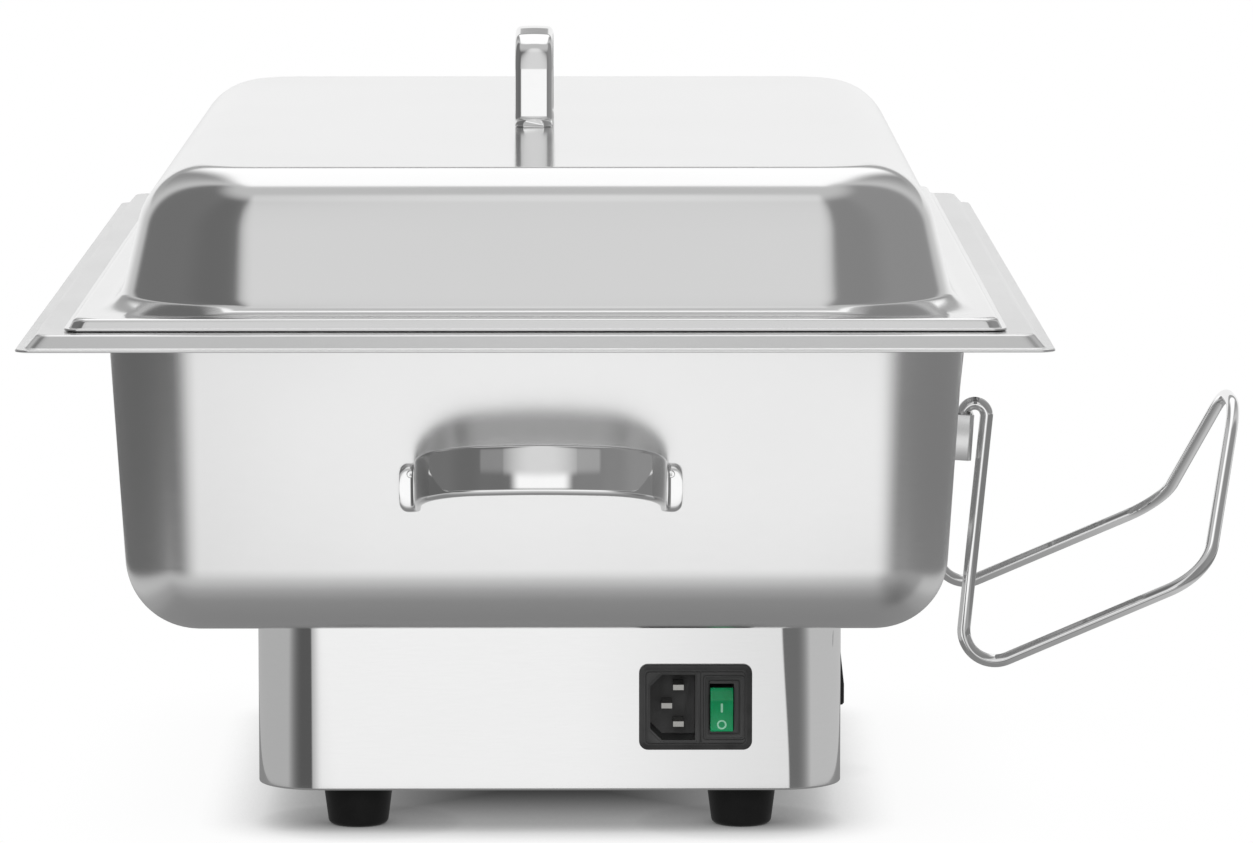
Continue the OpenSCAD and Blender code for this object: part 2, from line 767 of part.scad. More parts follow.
// Stations of a strap that stands on two tabs: along x, out along y
function strap_line(width, tab, shoulder_in, shoulder_out, out, shoulder_r, front_r) =
  let (seat = strap_t / 2 + weld_gap)
  let (foot = width / 2 - tab)
  bend(
    [
      [-width / 2, seat, 0],
      [-foot, seat, 0],
      [-foot + shoulder_in, shoulder_out, 0],
      [0, out, 0],
      [foot - shoulder_in, shoulder_out, 0],
      [foot, seat, 0],
      [width / 2, seat, 0]
    ],
    [0, strap_root_r, shoulder_r, front_r, shoulder_r, strap_root_r, 0]
  );
// A strap that rises and leans back the more it stands out
module strap(line, h, rise, lean) {
  rings = sweep_rings(line, strap_section(strap_t, h, strap_edge_r), [0, 1, 0]);
  skin([for (r = rings) [for (p = r) [p.x, p.y * (1 - lean * p.z), p.z + rise * max(0, p.y)]]]);
}
bow_line = strap_line(
  bow_w, bow_tab, bow_shoulder_in, bow_shoulder_out, bow_out, bow_shoulder_r, bow_front_r
);
module tank_handle() {
  translate([bow_side, -tank_front(bow_z), bow_z]) rotate([tank_draft, 0, 0]) mirror([0, 1, 0])
    strap(bow_line, bow_h, bow_rise, tan(bow_lean) / bow_out);
}
module tank_handle_front() color("white") place() tank_handle();
module tank_handle_rear() color("white") place() rotate([0, 0, 180]) tank_handle();

grip_line = strap_line(
  grip_l, grip_tab, grip_lean, grip_mid - grip_crown, grip_mid, grip_shoulder_r, grip_front_r
);
module lid_handle() color("white") place() translate([grip_side, 0, lid_top]) rotate([90, 0, 90])
  strap(grip_line, grip_w, 0, 0);

// Lid holder and its pockets

module holder_pocket(y) {
  half = pocket_w / 2;
  wing = half + pocket_flange;
  t = pocket_t;
  x = tank_side(pocket_mid) + weld_gap;
  depth = pocket_out - weld_gap;
  color("silver") place() translate([x, y, pocket_mid]) rotate([0, tank_draft, 0])
    translate([0, 0, -pocket_h / 2]) linear_extrude(pocket_h) polygon([
      [0, -wing], [t, -wing], [t, -half], [depth, -half], [depth, half], [t, half], [t, wing], [0, wing],
      [0, half - t], [depth - t, half - t], [depth - t, t - half], [0, t - half]
    ]);
}
module holder_pocket_front() holder_pocket(-arm_y);
module holder_pocket_rear() holder_pocket(arm_y);

holder_half = [
  [hook_x - hook_lean, -arm_y, hook_z - wire_r - hook_reach],
  [hook_x, -arm_y, hook_z],
  [hook_x + strand, -arm_y, hook_z],
  [leg_x, -arm_y, leg_z],
  [arm_x, -arm_y, arm_z],
  [arch_x, -arch_tip / 2, arch_z]
];
holder_points = concat(holder_half, [for (i = [len(holder_half) - 1 : -1 : 0]) mirrored(holder_half[i])]);
holder_radii = [0, hook_bend_r, hook_bend_r, leg_bend_r, arch_foot_r, arch_tip_r,
                arch_tip_r, arch_foot_r, leg_bend_r, hook_bend_r, hook_bend_r, 0];
function mirrored(p) = [p.x, -p.y, p.z];
module lid_holder() color("white") place()
  skin(sweep_rings(bend(holder_points, holder_radii), circle_section(wire_r, 12), [0, 1, 0]));

// Inlet and switch

module inlet_housing() color([0.2, 0.2, 0.2]) place_base() difference() {
  union() {
    translate([inlet_x, -base_front, inlet_z]) face_front() {
      linear_extrude(bezel_edge_t) round_rect(bezel_w, bezel_h, bezel_r);
      linear_extrude(bezel_t) round_rect(bezel_w - 2 * bezel_edge_in, bezel_h - 2 * bezel_edge_in, bezel_r);
    }
    translate([inlet_x, inlet_back, inlet_z]) face_front() linear_extrude(inlet_depth + cut)
      square([inlet_body_w, inlet_body_h], center = true);
  }
  translate([socket_x, socket_floor, inlet_z]) face_front() linear_extrude(socket_depth + cut)
    socket_outline(0);
  for (p = pin_places) translate([p.x, inlet_back + cut, inlet_z + p.y]) face_front()
    linear_extrude(inlet_depth + bezel_t) square([pin_w + 2 * weld_gap, pin_t + 2 * weld_gap], center = true);
  translate([recess_x, -base_front - bezel_t + recess_depth, inlet_z]) face_front() linear_extrude(bezel_t)
    square([recess_w, recess_h], center = true);
  translate([socket_x, -base_front - bezel_t + socket_lead_in, inlet_z]) face_front() linear_extrude(bezel_t)
    socket_outline(socket_lead_in);
  translate([rocker_x, rocker_pivot + rocker_well, inlet_z]) face_front() linear_extrude(rocker_well * 2)
    square([rocker_w + 2 * seat_gap, rocker_h + 2 * rocker_room], center = true);
  translate([rocker_x - rocker_w / 2 - rocker_pin_out - rocker_pin_end, rocker_pivot, inlet_z]) face_right()
    cylinder(d = rocker_pin_d + 2 * run_gap, h = rocker_w + 2 * (rocker_pin_out + rocker_pin_end));
  for (z = [-1, 1]) translate([rocker_x, inlet_back + cut, inlet_z + z * switch_tab_z]) face_front()
    linear_extrude(switch_tab_in + cut) square([pin_w + 2 * weld_gap, tab_t + 2 * weld_gap], center = true);
}
module socket_outline(grow) {
  w = socket_w / 2 + grow;
  h = socket_h / 2 + grow;
  c = socket_cut;
  polygon([[w, -h], [w, h], [c - w, h], [-w, h - c], [-w, c - h], [c - w, -h]]);
}
module inlet_pins() color("gold") place_base() for (p = pin_places)
  translate([p.x, inlet_back + tab_len, inlet_z + p.y]) face_front()
    linear_extrude(inlet_depth + bezel_t + tab_len - pin_back) square([pin_w, pin_t], center = true);
module switch_tabs() color("gold") place_base() for (z = [-1, 1])
  translate([rocker_x, inlet_back + tab_len, inlet_z + z * switch_tab_z]) face_front()
    linear_extrude(tab_len + switch_tab_in - weld_gap) square([pin_w, tab_t], center = true);

// The rocker stands with its upper half out: a two-faced key on a pivot pin
module rocker() color([0.08, 0.55, 0.34]) place_base() translate([rocker_x, rocker_pivot, inlet_z])
  rotate([rocker_travel / 2, 0, 0]) {
    half = rocker_h / 2;
    front = rocker_pivot + base_front + bezel_t - recess_depth + rocker_proud;
    dip = half * tan(rocker_travel / 2);
    translate([-rocker_w / 2, 0, 0]) rotate([90, 0, 90]) linear_extrude(rocker_w) polygon([
      [-front, -half],
      [-front + dip, 0],
      [-front, half],
      [0, half - rocker_taper],
      [rocker_heel, 0],
      [0, rocker_taper - half]
    ]);
    translate([-rocker_w / 2 - rocker_pin_out, 0, 0]) face_right()
      cylinder(d = rocker_pin_d, h = rocker_w + 2 * rocker_pin_out);
  }

// Thermostat

module place_dial() {
  translate([centre_x + base_shift, knob_y, knob_z]) children();
}
module thermostat_body() color("dimgray") place_dial() translate([thermostat_in, 0, 0]) difference() {
  union() {
    translate([0, -thermostat_w / 2, -thermostat_w / 2]) cube([thermostat_depth, thermostat_w, thermostat_w]);
    for (y = [-1, 1]) translate([-tab_len, y * thermostat_tab_y - tab_w / 2, thermostat_tab_z])
      cube([tab_len + cut, tab_w, tab_t]);
  }
  translate([thermostat_depth - spindle_in, 0, 0]) face_right()
    cylinder(d = spindle_d + 2 * run_gap, h = spindle_in + cut);
  for (y = thermostat_screw_y) translate([thermostat_depth - blind_hole, y, 0]) face_right()
    cylinder(d = m3 + 2 * thread_gap, h = blind_hole + cut);
}
module thermostat_screws() color("silver") place_dial() for (y = thermostat_screw_y)
  translate([base_side, y, 0]) rotate([0, -90, 0])
    pan_screw(m3, base_t + thermostat_screw_in, m3_head_d, thermostat_screw_head);
module thermostat_spindle() color("silver") place_dial()
  translate([base_side - base_t - spindle_in + weld_gap, 0, 0]) face_right()
    cylinder(d = spindle_d, h = spindle_in + base_t + knob_gap + knob_bore - 2 * weld_gap);
module thermostat_knob() color([0.06, 0.06, 0.06]) place_dial()
  translate([base_side + knob_gap, 0, 0]) difference() {
  union() {
    face_right() cylinder(d = knob_d, h = knob_skirt);
    intersection() {
      face_right() cylinder(d = knob_d - 2 * knob_edge, h = knob_out);
      translate([0, knob_grip_w / 2, 0]) rotate([90, 0, 0]) linear_extrude(knob_grip_w) polygon([
        [0, -knob_d / 2], [knob_out - knob_gap, -knob_d / 2], [knob_out - knob_gap, -knob_d / 4],
        [knob_skirt + knob_slope_end, knob_d / 2], [0, knob_d / 2]
      ]);
    }
    face_right() cylinder(d = knob_grip_w + 2 * knob_hub_wall, h = knob_bore + knob_roof / 2);
  }
  translate([-cut, 0, 0]) face_right() cylinder(d = spindle_d + 2 * weld_gap, h = knob_bore + cut);
}
module thermostat_bulb() color("peru") place_base()
  translate([bulb_x, bulb_front, bulb_z]) rotate([-90, 0, 0]) cylinder(d = bulb_d, h = bulb_l);
capillary_out = 10;
capillary_turn = 18;
capillary_drop = 4.5;
capillary_side = 4;
capillary_clear = 6;
capillary_fall = 8;
capillary_up = 10;
capillary_rise = 14;
capillary_fore = 24;
capillary_bend_r = 4;
module capillary_tube() color("peru") place_base() lead_tube(
  [
    [bulb_x, bulb_front - weld_gap, bulb_z],
    [bulb_x, bulb_front - capillary_out, bulb_z],
    [bulb_x, bulb_front - capillary_turn, clamp_z - capillary_drop],
    [spreader_w / 2 - capillary_side, bulb_front - capillary_turn, clamp_z - capillary_fall],
    [thermostat_in - capillary_clear, knob_y - capillary_fore, knob_z + capillary_rise],
    [thermostat_in - capillary_clear, knob_y, knob_z + capillary_up],
    [thermostat_in - weld_gap, knob_y, knob_z + capillary_up]
  ],
  capillary_d, capillary_bend_r
);

// Heater

module heat_spreader() color("lightgray") place_base() difference() {
  translate([0, 0, spreader_z]) linear_extrude(spreader_t - weld_gap)
    round_rect(spreader_w, spreader_l, plate_r);
  for (x = [-1, 1], y = clamp_places) translate([x * clamp_screw_x, y, spreader_z - cut])
    cylinder(d = m4 + 2 * thread_gap, h = spreader_t + cut);
}
module heating_element() color("darkolivegreen") place_base() skin(sweep_rings(
  bend(
    [
      [-tube_span / 2, tube_front, tube_z],
      [-tube_span / 2, tube_back + tube_span / 2, tube_z],
      [tube_span / 2, tube_back + tube_span / 2, tube_z],
      [tube_span / 2, tube_front, tube_z]
    ],
    [0, tube_span / 2 - bend_slack, tube_span / 2 - bend_slack, 0]
  ),
  circle_section(tube_d / 2, 12), [0, 0, 1]
));
module element_pins() color("silver") place_base() for (x = [-1, 1])
  translate([x * tube_span / 2, tube_front - weld_gap, tube_z]) rotate([90, 0, 0])
    cylinder(d = tube_pin_d, h = tube_pin);
// A bridge under both legs of the tube, with a foot at each end
module element_clamp() difference() {
  union() {
    translate([-clamp_side - clamp_t, 0, 0]) cube([2 * (clamp_side + clamp_t), clamp_w, clamp_t]);
    for (x = [-1, 1]) {
      translate([x * (clamp_side + clamp_t / 2) - clamp_t / 2, 0, 0])
        cube([clamp_t, clamp_w, tube_d + clamp_t]);
      translate([x * clamp_screw_x - clamp_foot / 2 - clamp_t / 2, 0, tube_d])
        cube([clamp_foot + clamp_t, clamp_w, clamp_t]);
    }
  }
  for (x = [-1, 1]) translate([x * clamp_screw_x, clamp_w / 2, tube_d]) sheet_hole(m4, clamp_t);
}
module element_clamps() color("silver") place_base() for (y = clamp_places)
  translate([0, y - clamp_w / 2, clamp_z]) element_clamp();
module clamp_screws() color("silver") place_base() for (x = [-1, 1], y = clamp_places)
  translate([x * clamp_screw_x, y, spreader_z - clamp_t])
    pan_screw(m4, clamp_t + spreader_t - 2 * weld_gap, m4_head_d, m4_head_h);
module shield_spacers() color("silver") place_base() for (p = spacer_places)
  translate([p.x, p.y, shield_z + shield_t]) difference() {
    cylinder(d = spacer_d, h = shield_drop - shield_t);
    translate([0, 0, -cut]) cylinder(d = m4 + 2 * thread_gap, h = spacer_bore + cut);
  }
module heat_shield() color("lightgray") place_base() difference() {
  translate([0, 0, shield_z]) linear_extrude(shield_t)
    round_rect(spreader_w - 2 * shield_in, spreader_l, plate_r);
  for (p = spacer_places) translate([p.x, p.y, shield_z]) sheet_hole(m4, shield_t);
}
module shield_screws() color("silver") place_base() for (p = spacer_places)
  translate([p.x, p.y, shield_z]) pan_screw(m4, shield_t + blind_hole, m4_head_d, m4_head_h);
module thermal_cutout() color("beige") place_base()
  translate([0, cutout_y, spreader_z - cutout_h - weld_gap]) {
  cylinder(d = cutout_d, h = cutout_h);
  for (x = [-1, 1]) translate([x * cutout_tab_x - tab_t / 2, -tab_w / 2, -tab_w])
    cube([tab_t, tab_w, tab_w + cut]);
}

// Leads: each from tab to tab

tab_back = inlet_back + tab_len + weld_gap;
cutout_tab_z = spreader_z - cutout_h - tab_w - lead_d / 2;
thermostat_tab_end = thermostat_in - tab_len;
thermostat_lead_z = knob_z + thermostat_tab_z + tab_t / 2;
cutout_lead_x = cutout_tab_x + lead_d / 2;
lead_r = 5;
// Straight lengths of the leads past their tabs
live_out = 20;
tab_out = 12;
switched_out = 8;
switched_back = 30;
switched_turn = 18;
lead_drop = 1;
heater_turn = 4;
heater_rise = 2;
heater_back = 3;
neutral_out = 14;
neutral_drop = 12;
neutral_lead = 16;
earth_lead = 8;
earth_turn = 26;
earth_rise = 5;
earth_lay = 16;
module lead_live() color("saddlebrown") place_base() lead_tube(
  [
    [rocker_x, tab_back, inlet_z - switch_tab_z],
    [rocker_x, tab_back + live_out, inlet_z - switch_tab_z],
    [thermostat_tab_end - tab_out, knob_y - thermostat_tab_y, thermostat_lead_z],
    [thermostat_tab_end - weld_gap, knob_y - thermostat_tab_y, thermostat_lead_z]
  ],
  lead_d, lead_r
);
module lead_switched() color("black") place_base() lead_tube(
  [
    [thermostat_tab_end - weld_gap, knob_y + thermostat_tab_y, thermostat_lead_z],
    [thermostat_tab_end - switched_out, knob_y + thermostat_tab_y, thermostat_lead_z],
    [thermostat_tab_end - switched_out, knob_y + switched_back, cutout_tab_z - lead_drop],
    [switched_turn, cutout_y, cutout_tab_z - lead_drop],
    [cutout_tab_x - lead_d / 2, cutout_y, cutout_tab_z - weld_gap]
  ],
  lead_d, lead_r
);
module lead_heater() color("white") place_base() lead_tube(
  [
    [-cutout_lead_x, cutout_y + heater_back, cutout_tab_z - weld_gap],
    [-cutout_lead_x, clamp_places[0], cutout_tab_z - weld_gap],
    [tube_span / 2, tube_front - heater_turn, cutout_tab_z],
    [tube_span / 2, tube_front - tube_pin - tab_out, cutout_tab_z + heater_rise],
    [tube_span / 2, tube_front - tube_pin - tab_out, tube_z],
    [tube_span / 2, tube_front - tube_pin - 2 * weld_gap, tube_z]
  ],
  lead_d, lead_r
);
module lead_neutral() color("royalblue") place_base() lead_tube(
  [
    [-tube_span / 2, tube_front - tube_pin - 2 * weld_gap, tube_z],
    [-tube_span / 2, tube_front - tube_pin - neutral_out, tube_z],
    [-tube_span / 2, tube_front - tube_pin - neutral_out, shield_z - neutral_drop],
    [pin_row, tab_back + neutral_lead, inlet_z + pin_pitch / 2],
    [pin_row, tab_back, inlet_z + pin_pitch / 2]
  ],
  lead_d, lead_r
);
module lead_earth() color("yellowgreen") place_base() lead_tube(
  [
    [pin_row - earth_off, tab_back, inlet_z],
    [pin_row - earth_off, tab_back + earth_lead, inlet_z],
    [pin_row - earth_off - earth_turn, tab_back + earth_lead, flange_z + earth_rise],
    [earth_place.x + earth_lay, earth_place.y, flange_z + m4_nut_h + lead_d / 2],
    [earth_place.x + m4 / 2 + weld_gap, earth_place.y, flange_z + m4_nut_h + lead_d / 2]
  ],
  lead_d, lead_r
);

base_housing();
base_plate();
foot_front_left();
foot_front_right();
foot_rear_left();
foot_rear_right();
foot_screws();
foot_nuts();
plate_screws();
water_tank();
tank_studs();
stud_nuts();
tank_handle_front();
tank_handle_rear();
holder_pocket_front();
holder_pocket_rear();
heat_spreader();
heating_element();
element_pins();
element_clamps();
clamp_screws();
heat_shield();
shield_spacers();
shield_screws();
thermal_cutout();
thermostat_body();
thermostat_screws();
thermostat_bulb();
capillary_tube();
earth_stud();
earth_nut();
inlet_housing();
inlet_pins();
switch_tabs();
lead_live();
lead_switched();
lead_heater();
lead_neutral();
lead_earth();
thermostat_knob();
thermostat_spindle();
rocker();
food_pan();
lid_shell();
lid_handle();
lid_holder();
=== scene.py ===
"""Looks of the electric chafing dish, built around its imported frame.

Shapes are worked out in millimetres in the row frame, and make_piece turns them into metres.
"""
import math

import bmesh
import bpy
from mathutils import Matrix, Vector


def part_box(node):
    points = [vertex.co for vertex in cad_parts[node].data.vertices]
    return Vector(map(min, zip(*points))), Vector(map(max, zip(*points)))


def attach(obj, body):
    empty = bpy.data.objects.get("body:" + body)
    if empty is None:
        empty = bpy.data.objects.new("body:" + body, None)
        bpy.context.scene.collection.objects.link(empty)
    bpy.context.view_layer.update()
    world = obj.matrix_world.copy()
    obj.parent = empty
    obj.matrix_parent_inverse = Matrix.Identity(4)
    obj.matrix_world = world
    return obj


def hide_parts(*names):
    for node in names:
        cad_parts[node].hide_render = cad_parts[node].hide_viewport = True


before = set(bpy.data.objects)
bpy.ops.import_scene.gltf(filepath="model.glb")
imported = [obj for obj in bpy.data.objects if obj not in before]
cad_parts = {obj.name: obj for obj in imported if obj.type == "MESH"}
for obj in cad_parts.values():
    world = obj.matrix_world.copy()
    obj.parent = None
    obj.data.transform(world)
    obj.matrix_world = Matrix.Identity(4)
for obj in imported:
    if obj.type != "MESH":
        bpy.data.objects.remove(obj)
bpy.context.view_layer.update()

MM = 0.001
UNMOVED = Matrix.Identity(4)

# Photograph and camera
PHOTO_W = 1253
FOCAL_PX = 6948.8
SENSOR_MM = 36.0
CAMERA_FROM_TANK = Vector((19.75, -2737.7, 278.25))
CAMERA_PITCH = math.radians(7.0564)
CAMERA_YAW = math.radians(0.2958)

# Fineness of the meshes
BEND_STEP = 4.0
CORNER_STEPS = 22
GUARD = 0.6
LATHE_STEPS = 72
WIRE_SIDES = 28
WELD_SIDES = 24
HOLE_SIDES = 32
STRAP_STEP = 3.0
LEAST_HALF = 0.1


def box_mm(node):
    """Lowest and highest corner of a CAD node, in millimetres."""
    low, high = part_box(node)
    return low / MM, high / MM


tank_low, tank_high = box_mm("water_tank")
lid_low, lid_high = box_mm("lid_shell")
pan_low, pan_high = box_mm("food_pan")
base_low, base_high = box_mm("base_housing")
bezel_low, bezel_high = box_mm("inlet_housing")
knob_low, knob_high = box_mm("thermostat_knob")

# Places read from the frame
TANK_X = (tank_low.x + tank_high.x) / 2
BASE_X = (base_low.x + base_high.x) / 2
SHELF_Z = tank_high.z
BASE_TOP = tank_low.z
LID_TOP = lid_high.z
TANK_HALF = (tank_high - tank_low).xy / 2
PAN_HALF = (pan_high - pan_low).xy / 2
LID_HALF = (lid_high - lid_low).xy / 2
BASE_HALF = (base_high - base_low).xy / 2

# Water tank
TANK_T = 1.0
LIP_W = 3.5
STEP_H = 4.6
STEP_W = 4.0
WALL_IN = 29.7
TANK_DRAFT = math.radians(3.7)
RIM_R = 5.0
TANK_R = 33.0
TANK_BOTTOM_R = 26.0
SHELF_R = 3.0
FOLD_R = 1.6

# Food pan
PAN_T = 0.8
PAN_RIM_W = 11.5
PAN_RIM_R = 12.0
PAN_DRAFT = math.radians(5.0)
PAN_R = 40.0
PAN_BOTTOM_R = 14.0
PAN_FOLD_R = 3.5

# Lid
LID_T = 0.8
LID_EDGE_R = 5.0
LID_LIP_W = 2.0
LID_STEP_H = 3.4
LID_STEP_W = 1.7
LID_WALL_IN = 16.3
LID_SLOPE = math.radians(13.5)
LID_R = 50.0
LID_TOP_R = 26.0
LID_FOOT_R = 8.0
LID_FOLD_R = 2.2

# Least corner radius of a pressing, and the inner flat that closes it
LEAST_R = 1.2
FLAT_IN = 30.0

# Handle straps
STRAP_T = 3.0
STRAP_EDGE_R = 1.9
STRAP_BACK_R = 0.6
STRAP_CROWN = 0.2
STRAP_ROOT_R = 2.4
TAB_CORNER_R = 3.3
WELD_GAP = 0.05
BOW_W = 102.0
BOW_TAB = 6.2
BOW_H = 17.3
BOW_OUT = 37.97
BOW_SHOULDER_OUT = 33.0
BOW_SHOULDER_IN = 1.7
BOW_SHOULDER_R = 26.0
BOW_FRONT_R = 110.0
BOW_RISE = 0.389
BOW_LEAN = math.radians(16.0)
BOW_SIDE = 1.7
BOW_DROP = 58.7
GRIP_W = 14.6
GRIP_L = 92.0
GRIP_TAB = 8.0
GRIP_H = 36.5
GRIP_CROWN = 2.5
GRIP_LEAN = 4.0
GRIP_SHOULDER_R = 14.0
GRIP_FRONT_R = 90.0
GRIP_SIDE = -2.4
GRIP_EDGE_R = 2.3

# Spot welds: the profile and the places on straps and pockets are shares of sizes
WELD_R = 1.4
WELD_H = 0.1
WELD_IN = 4.1
WELD_OUT = STRAP_T - STRAP_CROWN / 2 + WELD_GAP
WELD_PROFILE = (
    (0.0, -1.0), (1.0, -1.0), (1.0, 0.0), (0.86, 0.6), (0.66, 1.0), (0.44, 0.5), (0.2, 0.2), (0.0, 0.0)
)
LEAST_WELD_R = 0.01
BOW_WELD_UP = 0.28
GRIP_WELD_UP = 0.26
POCKET_WELD_OUT = 0.55
POCKET_WELD_UP = 0.25
FOUR_CORNERS = ((-1, -1), (-1, 1), (1, -1), (1, 1))

# Wire lid holder and its pockets
WIRE_R = 2.5
HOLDER_SPAN = 210.0
HOOK_GAP = 4.2
HOOK_REACH = 14.0
LEG_H = 106.5
LEG_LEAN = 10.6
LEG_BEND_R = 12.0
ARM_OUT = 95.2
ARM_RISE = 40.7
ARCH_OUT = 17.44
ARCH_RISE = 54.9
ARCH_TIP = 46.0
ARCH_FOOT_R = 24.0
ARCH_TIP_R = 52.0
SEAT_GAP = 0.3
HOOK_PLAY = 0.1
LEAST_WIRE_R = 0.05
POCKET_DROP = 48.6
POCKET_H = 17.5
POCKET_W = 18.0
POCKET_OUT = 13.1
POCKET_FLANGE = 9.0
POCKET_T = 0.9
POCKET_BEND_R = 1.3
POCKET_EDGE_R = 0.15

# Base
BASE_T = 1.0
BASE_R = 24.0
BASE_EDGE_R = 2.0
TOP_FLANGE = 18.0
BOTTOM_FLANGE = 14.0
FLANGE_UP = 3.4
SPINDLE_HOLE_R = 4.5
CUT_ROOM = 0.15
SHARP_ANGLE = 50

# Feet
FOOT_TOP_R = 14.0
FOOT_BOTTOM_R = 11.5
FOOT_EDGE_R = 2.2
FOOT_COLLAR = 3.6
FOOT_BORE_R = 2.15
FOOT_RECESS_R = 5.5
FOOT_RECESS = 8.0
FOOT_CHAMFER = 0.3
FOOT_MOUTH = 0.5
FOOT_NECK_IN = 0.35

# Inlet and rocker
BEZEL_W = 42.7
BEZEL_H = 32.6
BEZEL_T = 2.4
BEZEL_R = 3.4
BEZEL_LAP = 1.8
BEZEL_EDGE = (
    (0, 0), (0, 1.1), (0.1, 1.35), (0.35, 1.5), (0.75, 1.56), (1.8, 2.2), (2.05, 2.34), (2.4, BEZEL_T)
)
INLET_BODY_W = BEZEL_W - 2 * BEZEL_LAP
INLET_BODY_H = BEZEL_H - 2 * BEZEL_LAP
INLET_EDGE_R = 0.22
CUT_PAST = 1.0
BODY_GAP = 0.01
INLET_X = 55.2
SOCKET_W = 17.0
SOCKET_H = 25.0
SOCKET_DEPTH = 17.0
SOCKET_CUT = 4.5
SOCKET_FROM_LEFT = 12.7
SOCKET_LEAD_IN = 0.6
PIN_PITCH = 14.0
EARTH_OFF = 4.4
PIN_W = 4.0
PIN_T = 2.0
PIN_ROOM = 0.1
RECESS_FROM_RIGHT = 10.6
RECESS_W = 14.4
RECESS_H = 23.2
RECESS_DEPTH = 1.4
RECESS_STEP = 1.1
RECESS_STEP_SHARE = 0.55
WELL_DEPTH = 9.0
GROOVE = 0.35
GROOVE_DEPTH = 0.7
SEAM_X = 1.9
BEZEL_LINE_IN = 2.4
FRAME_OUT = 0.8
FRAME_IN = 1.3
ROCKER_FROM_RIGHT = 11.5
ROCKER_W = 8.6
ROCKER_H = 16.7
ROCKER_TRAVEL = math.radians(16.0)
ROCKER_PIVOT_IN = 3.2
ROCKER_PROUD = 2.6
ROCKER_FACET = 4.0
ROCKER_FACET_BACK = 2.4
ROCKER_DISH = 0.35
ROCKER_STEPS = 10
ROCKER_HEEL = 1.6
ROCKER_BACK = 3.0
ROCKER_PIN_R = 1.2
ROCKER_PIN_OUT = 1.6
ROCKER_EDGE_R = 0.3
MARK_PROUD = 0.04
MARK_DEPTH = 0.3
RING_MARK_Z = -5.6

# Thermostat dial
KNOB_D = 36.0
KNOB_SKIRT = 1.8
KNOB_GRIP_W = 11.0
KNOB_RIBS = 48
KNOB_RIB_H = 0.35
KNOB_RIB_STEPS = 6
KNOB_GRIP_IN = 3.2
KNOB_EDGE_R = 0.7
PRINT_DEPTH = 0.3
PRINT_PROUD = 0.05
TICK_IN = 1.9
TICK_LENGTHS = (1.6, 0.9)
POINTER = (4.6, 0.9)
TICK_W = 0.4
DIAL_STEPS = 6
DIAL_SWEEP = 270.0

# Middles of the bezel's and the dial's backs
INLET = Vector((BASE_X + INLET_X, base_low.y, (bezel_low.z + bezel_high.z) / 2))
KNOB = Vector((knob_low.x, (knob_low.y + knob_high.y) / 2, (knob_low.z + knob_high.z) / 2))


# Lines, rings and sections


def left_of(direction):
    """A section's direction turned a quarter to the left."""
    return Vector((-direction.y, direction.x))


def bend(points, radii, step=BEND_STEP, guard=GUARD, end_guard=GUARD):
    """Stations along a line whose corners are rounded, each a point with its direction."""
    first = (points[1] - points[0]).normalized()
    last = (points[-1] - points[-2]).normalized()
    stations = [(points[0], first)]
    if end_guard:
        stations.append((points[0] + first * end_guard, first))
    for before, corner, after, radius in zip(points, points[1:], points[2:], radii[1:]):
        a = (corner - before).normalized()
        b = (after - corner).normalized()
        turn = a.angle(b)
        inward = (b - a * a.dot(b)).normalized()
        start = corner - a * radius * math.tan(turn / 2)
        count = max(3, math.ceil(math.degrees(turn) / step))
        reach = min(guard, radius / 4)
        stations.append((start - a * reach, a))
        for k in range(count + 1):
            w = turn * k / count
            place = start + radius * (a * math.sin(w) + inward * (1 - math.cos(w)))
            stations.append((place, a * math.cos(w) + inward * math.sin(w)))
        stations.append((stations[-1][0] + b * reach, b))
    if end_guard:
        stations.append((points[-1] - last * end_guard, last))
    stations.append((points[-1], last))
    return stations


def round_nose(end, direction, half, count=5):
    """Points of the half-round edge of a sheet, from its right face to its left face."""
    side = left_of(direction)
    angles = [math.pi * (k + 1) / (count + 1) - math.pi / 2 for k in range(count)]
    return [end + (direction * math.cos(w) + side * math.sin(w)) * half for w in angles]


def sheet_section(stations, thickness, both_ends=False):
    """Outline of a sheet that follows a section line, with rounded free edges."""
    half = thickness / 2
    under = [p - left_of(d) * half for p, d in stations]
    over = [p + left_of(d) * half for p, d in reversed(stations)]
    outline = under + round_nose(*stations[-1], half) + over
    if both_ends:
        start, direction = stations[0]
        outline += round_nose(start, -direction, half)
    return outline


def corner_ring(half_x, half_y, radius, z):
    """A level ring with rounded corners. A guard point beside each arc keeps the straights flat."""
    ring = []
    reach = min(GUARD * 2, (min(half_x, half_y) - radius) / 2)
    signs = ((1, 1), (-1, 1), (-1, -1), (1, -1))
    for quarter, (sx, sy) in enumerate(signs):
        middle = Vector((sx * (half_x - radius), sy * (half_y - radius), z))
        arc = []
        for k in range(CORNER_STEPS + 1):
            w = math.radians(90 * (quarter + k / CORNER_STEPS))
            arc.append(middle + radius * Vector((math.cos(w), math.sin(w), 0)))
        w = math.radians(90 * quarter)
        along = Vector((-math.sin(w), math.cos(w), 0))
        ahead = Vector((-along.y, along.x, 0))
        ring += [arc[0] - along * reach] + arc + [arc[-1] + ahead * reach]
    return ring


def press_radius(inset, edge_r, flat_in, wall_in, wall_r):
    """Corner radius of a pressing at a distance in from its edge."""
    if inset < flat_in:
        return edge_r
    if inset < wall_in:
        return edge_r + (wall_r - edge_r) * (inset - flat_in) / (wall_in - flat_in)
    return max(LEAST_R, wall_r - (inset - wall_in))


def turned(side, direction):
    """A side direction made square to a line's direction."""
    return (side - direction * side.dot(direction)).normalized()


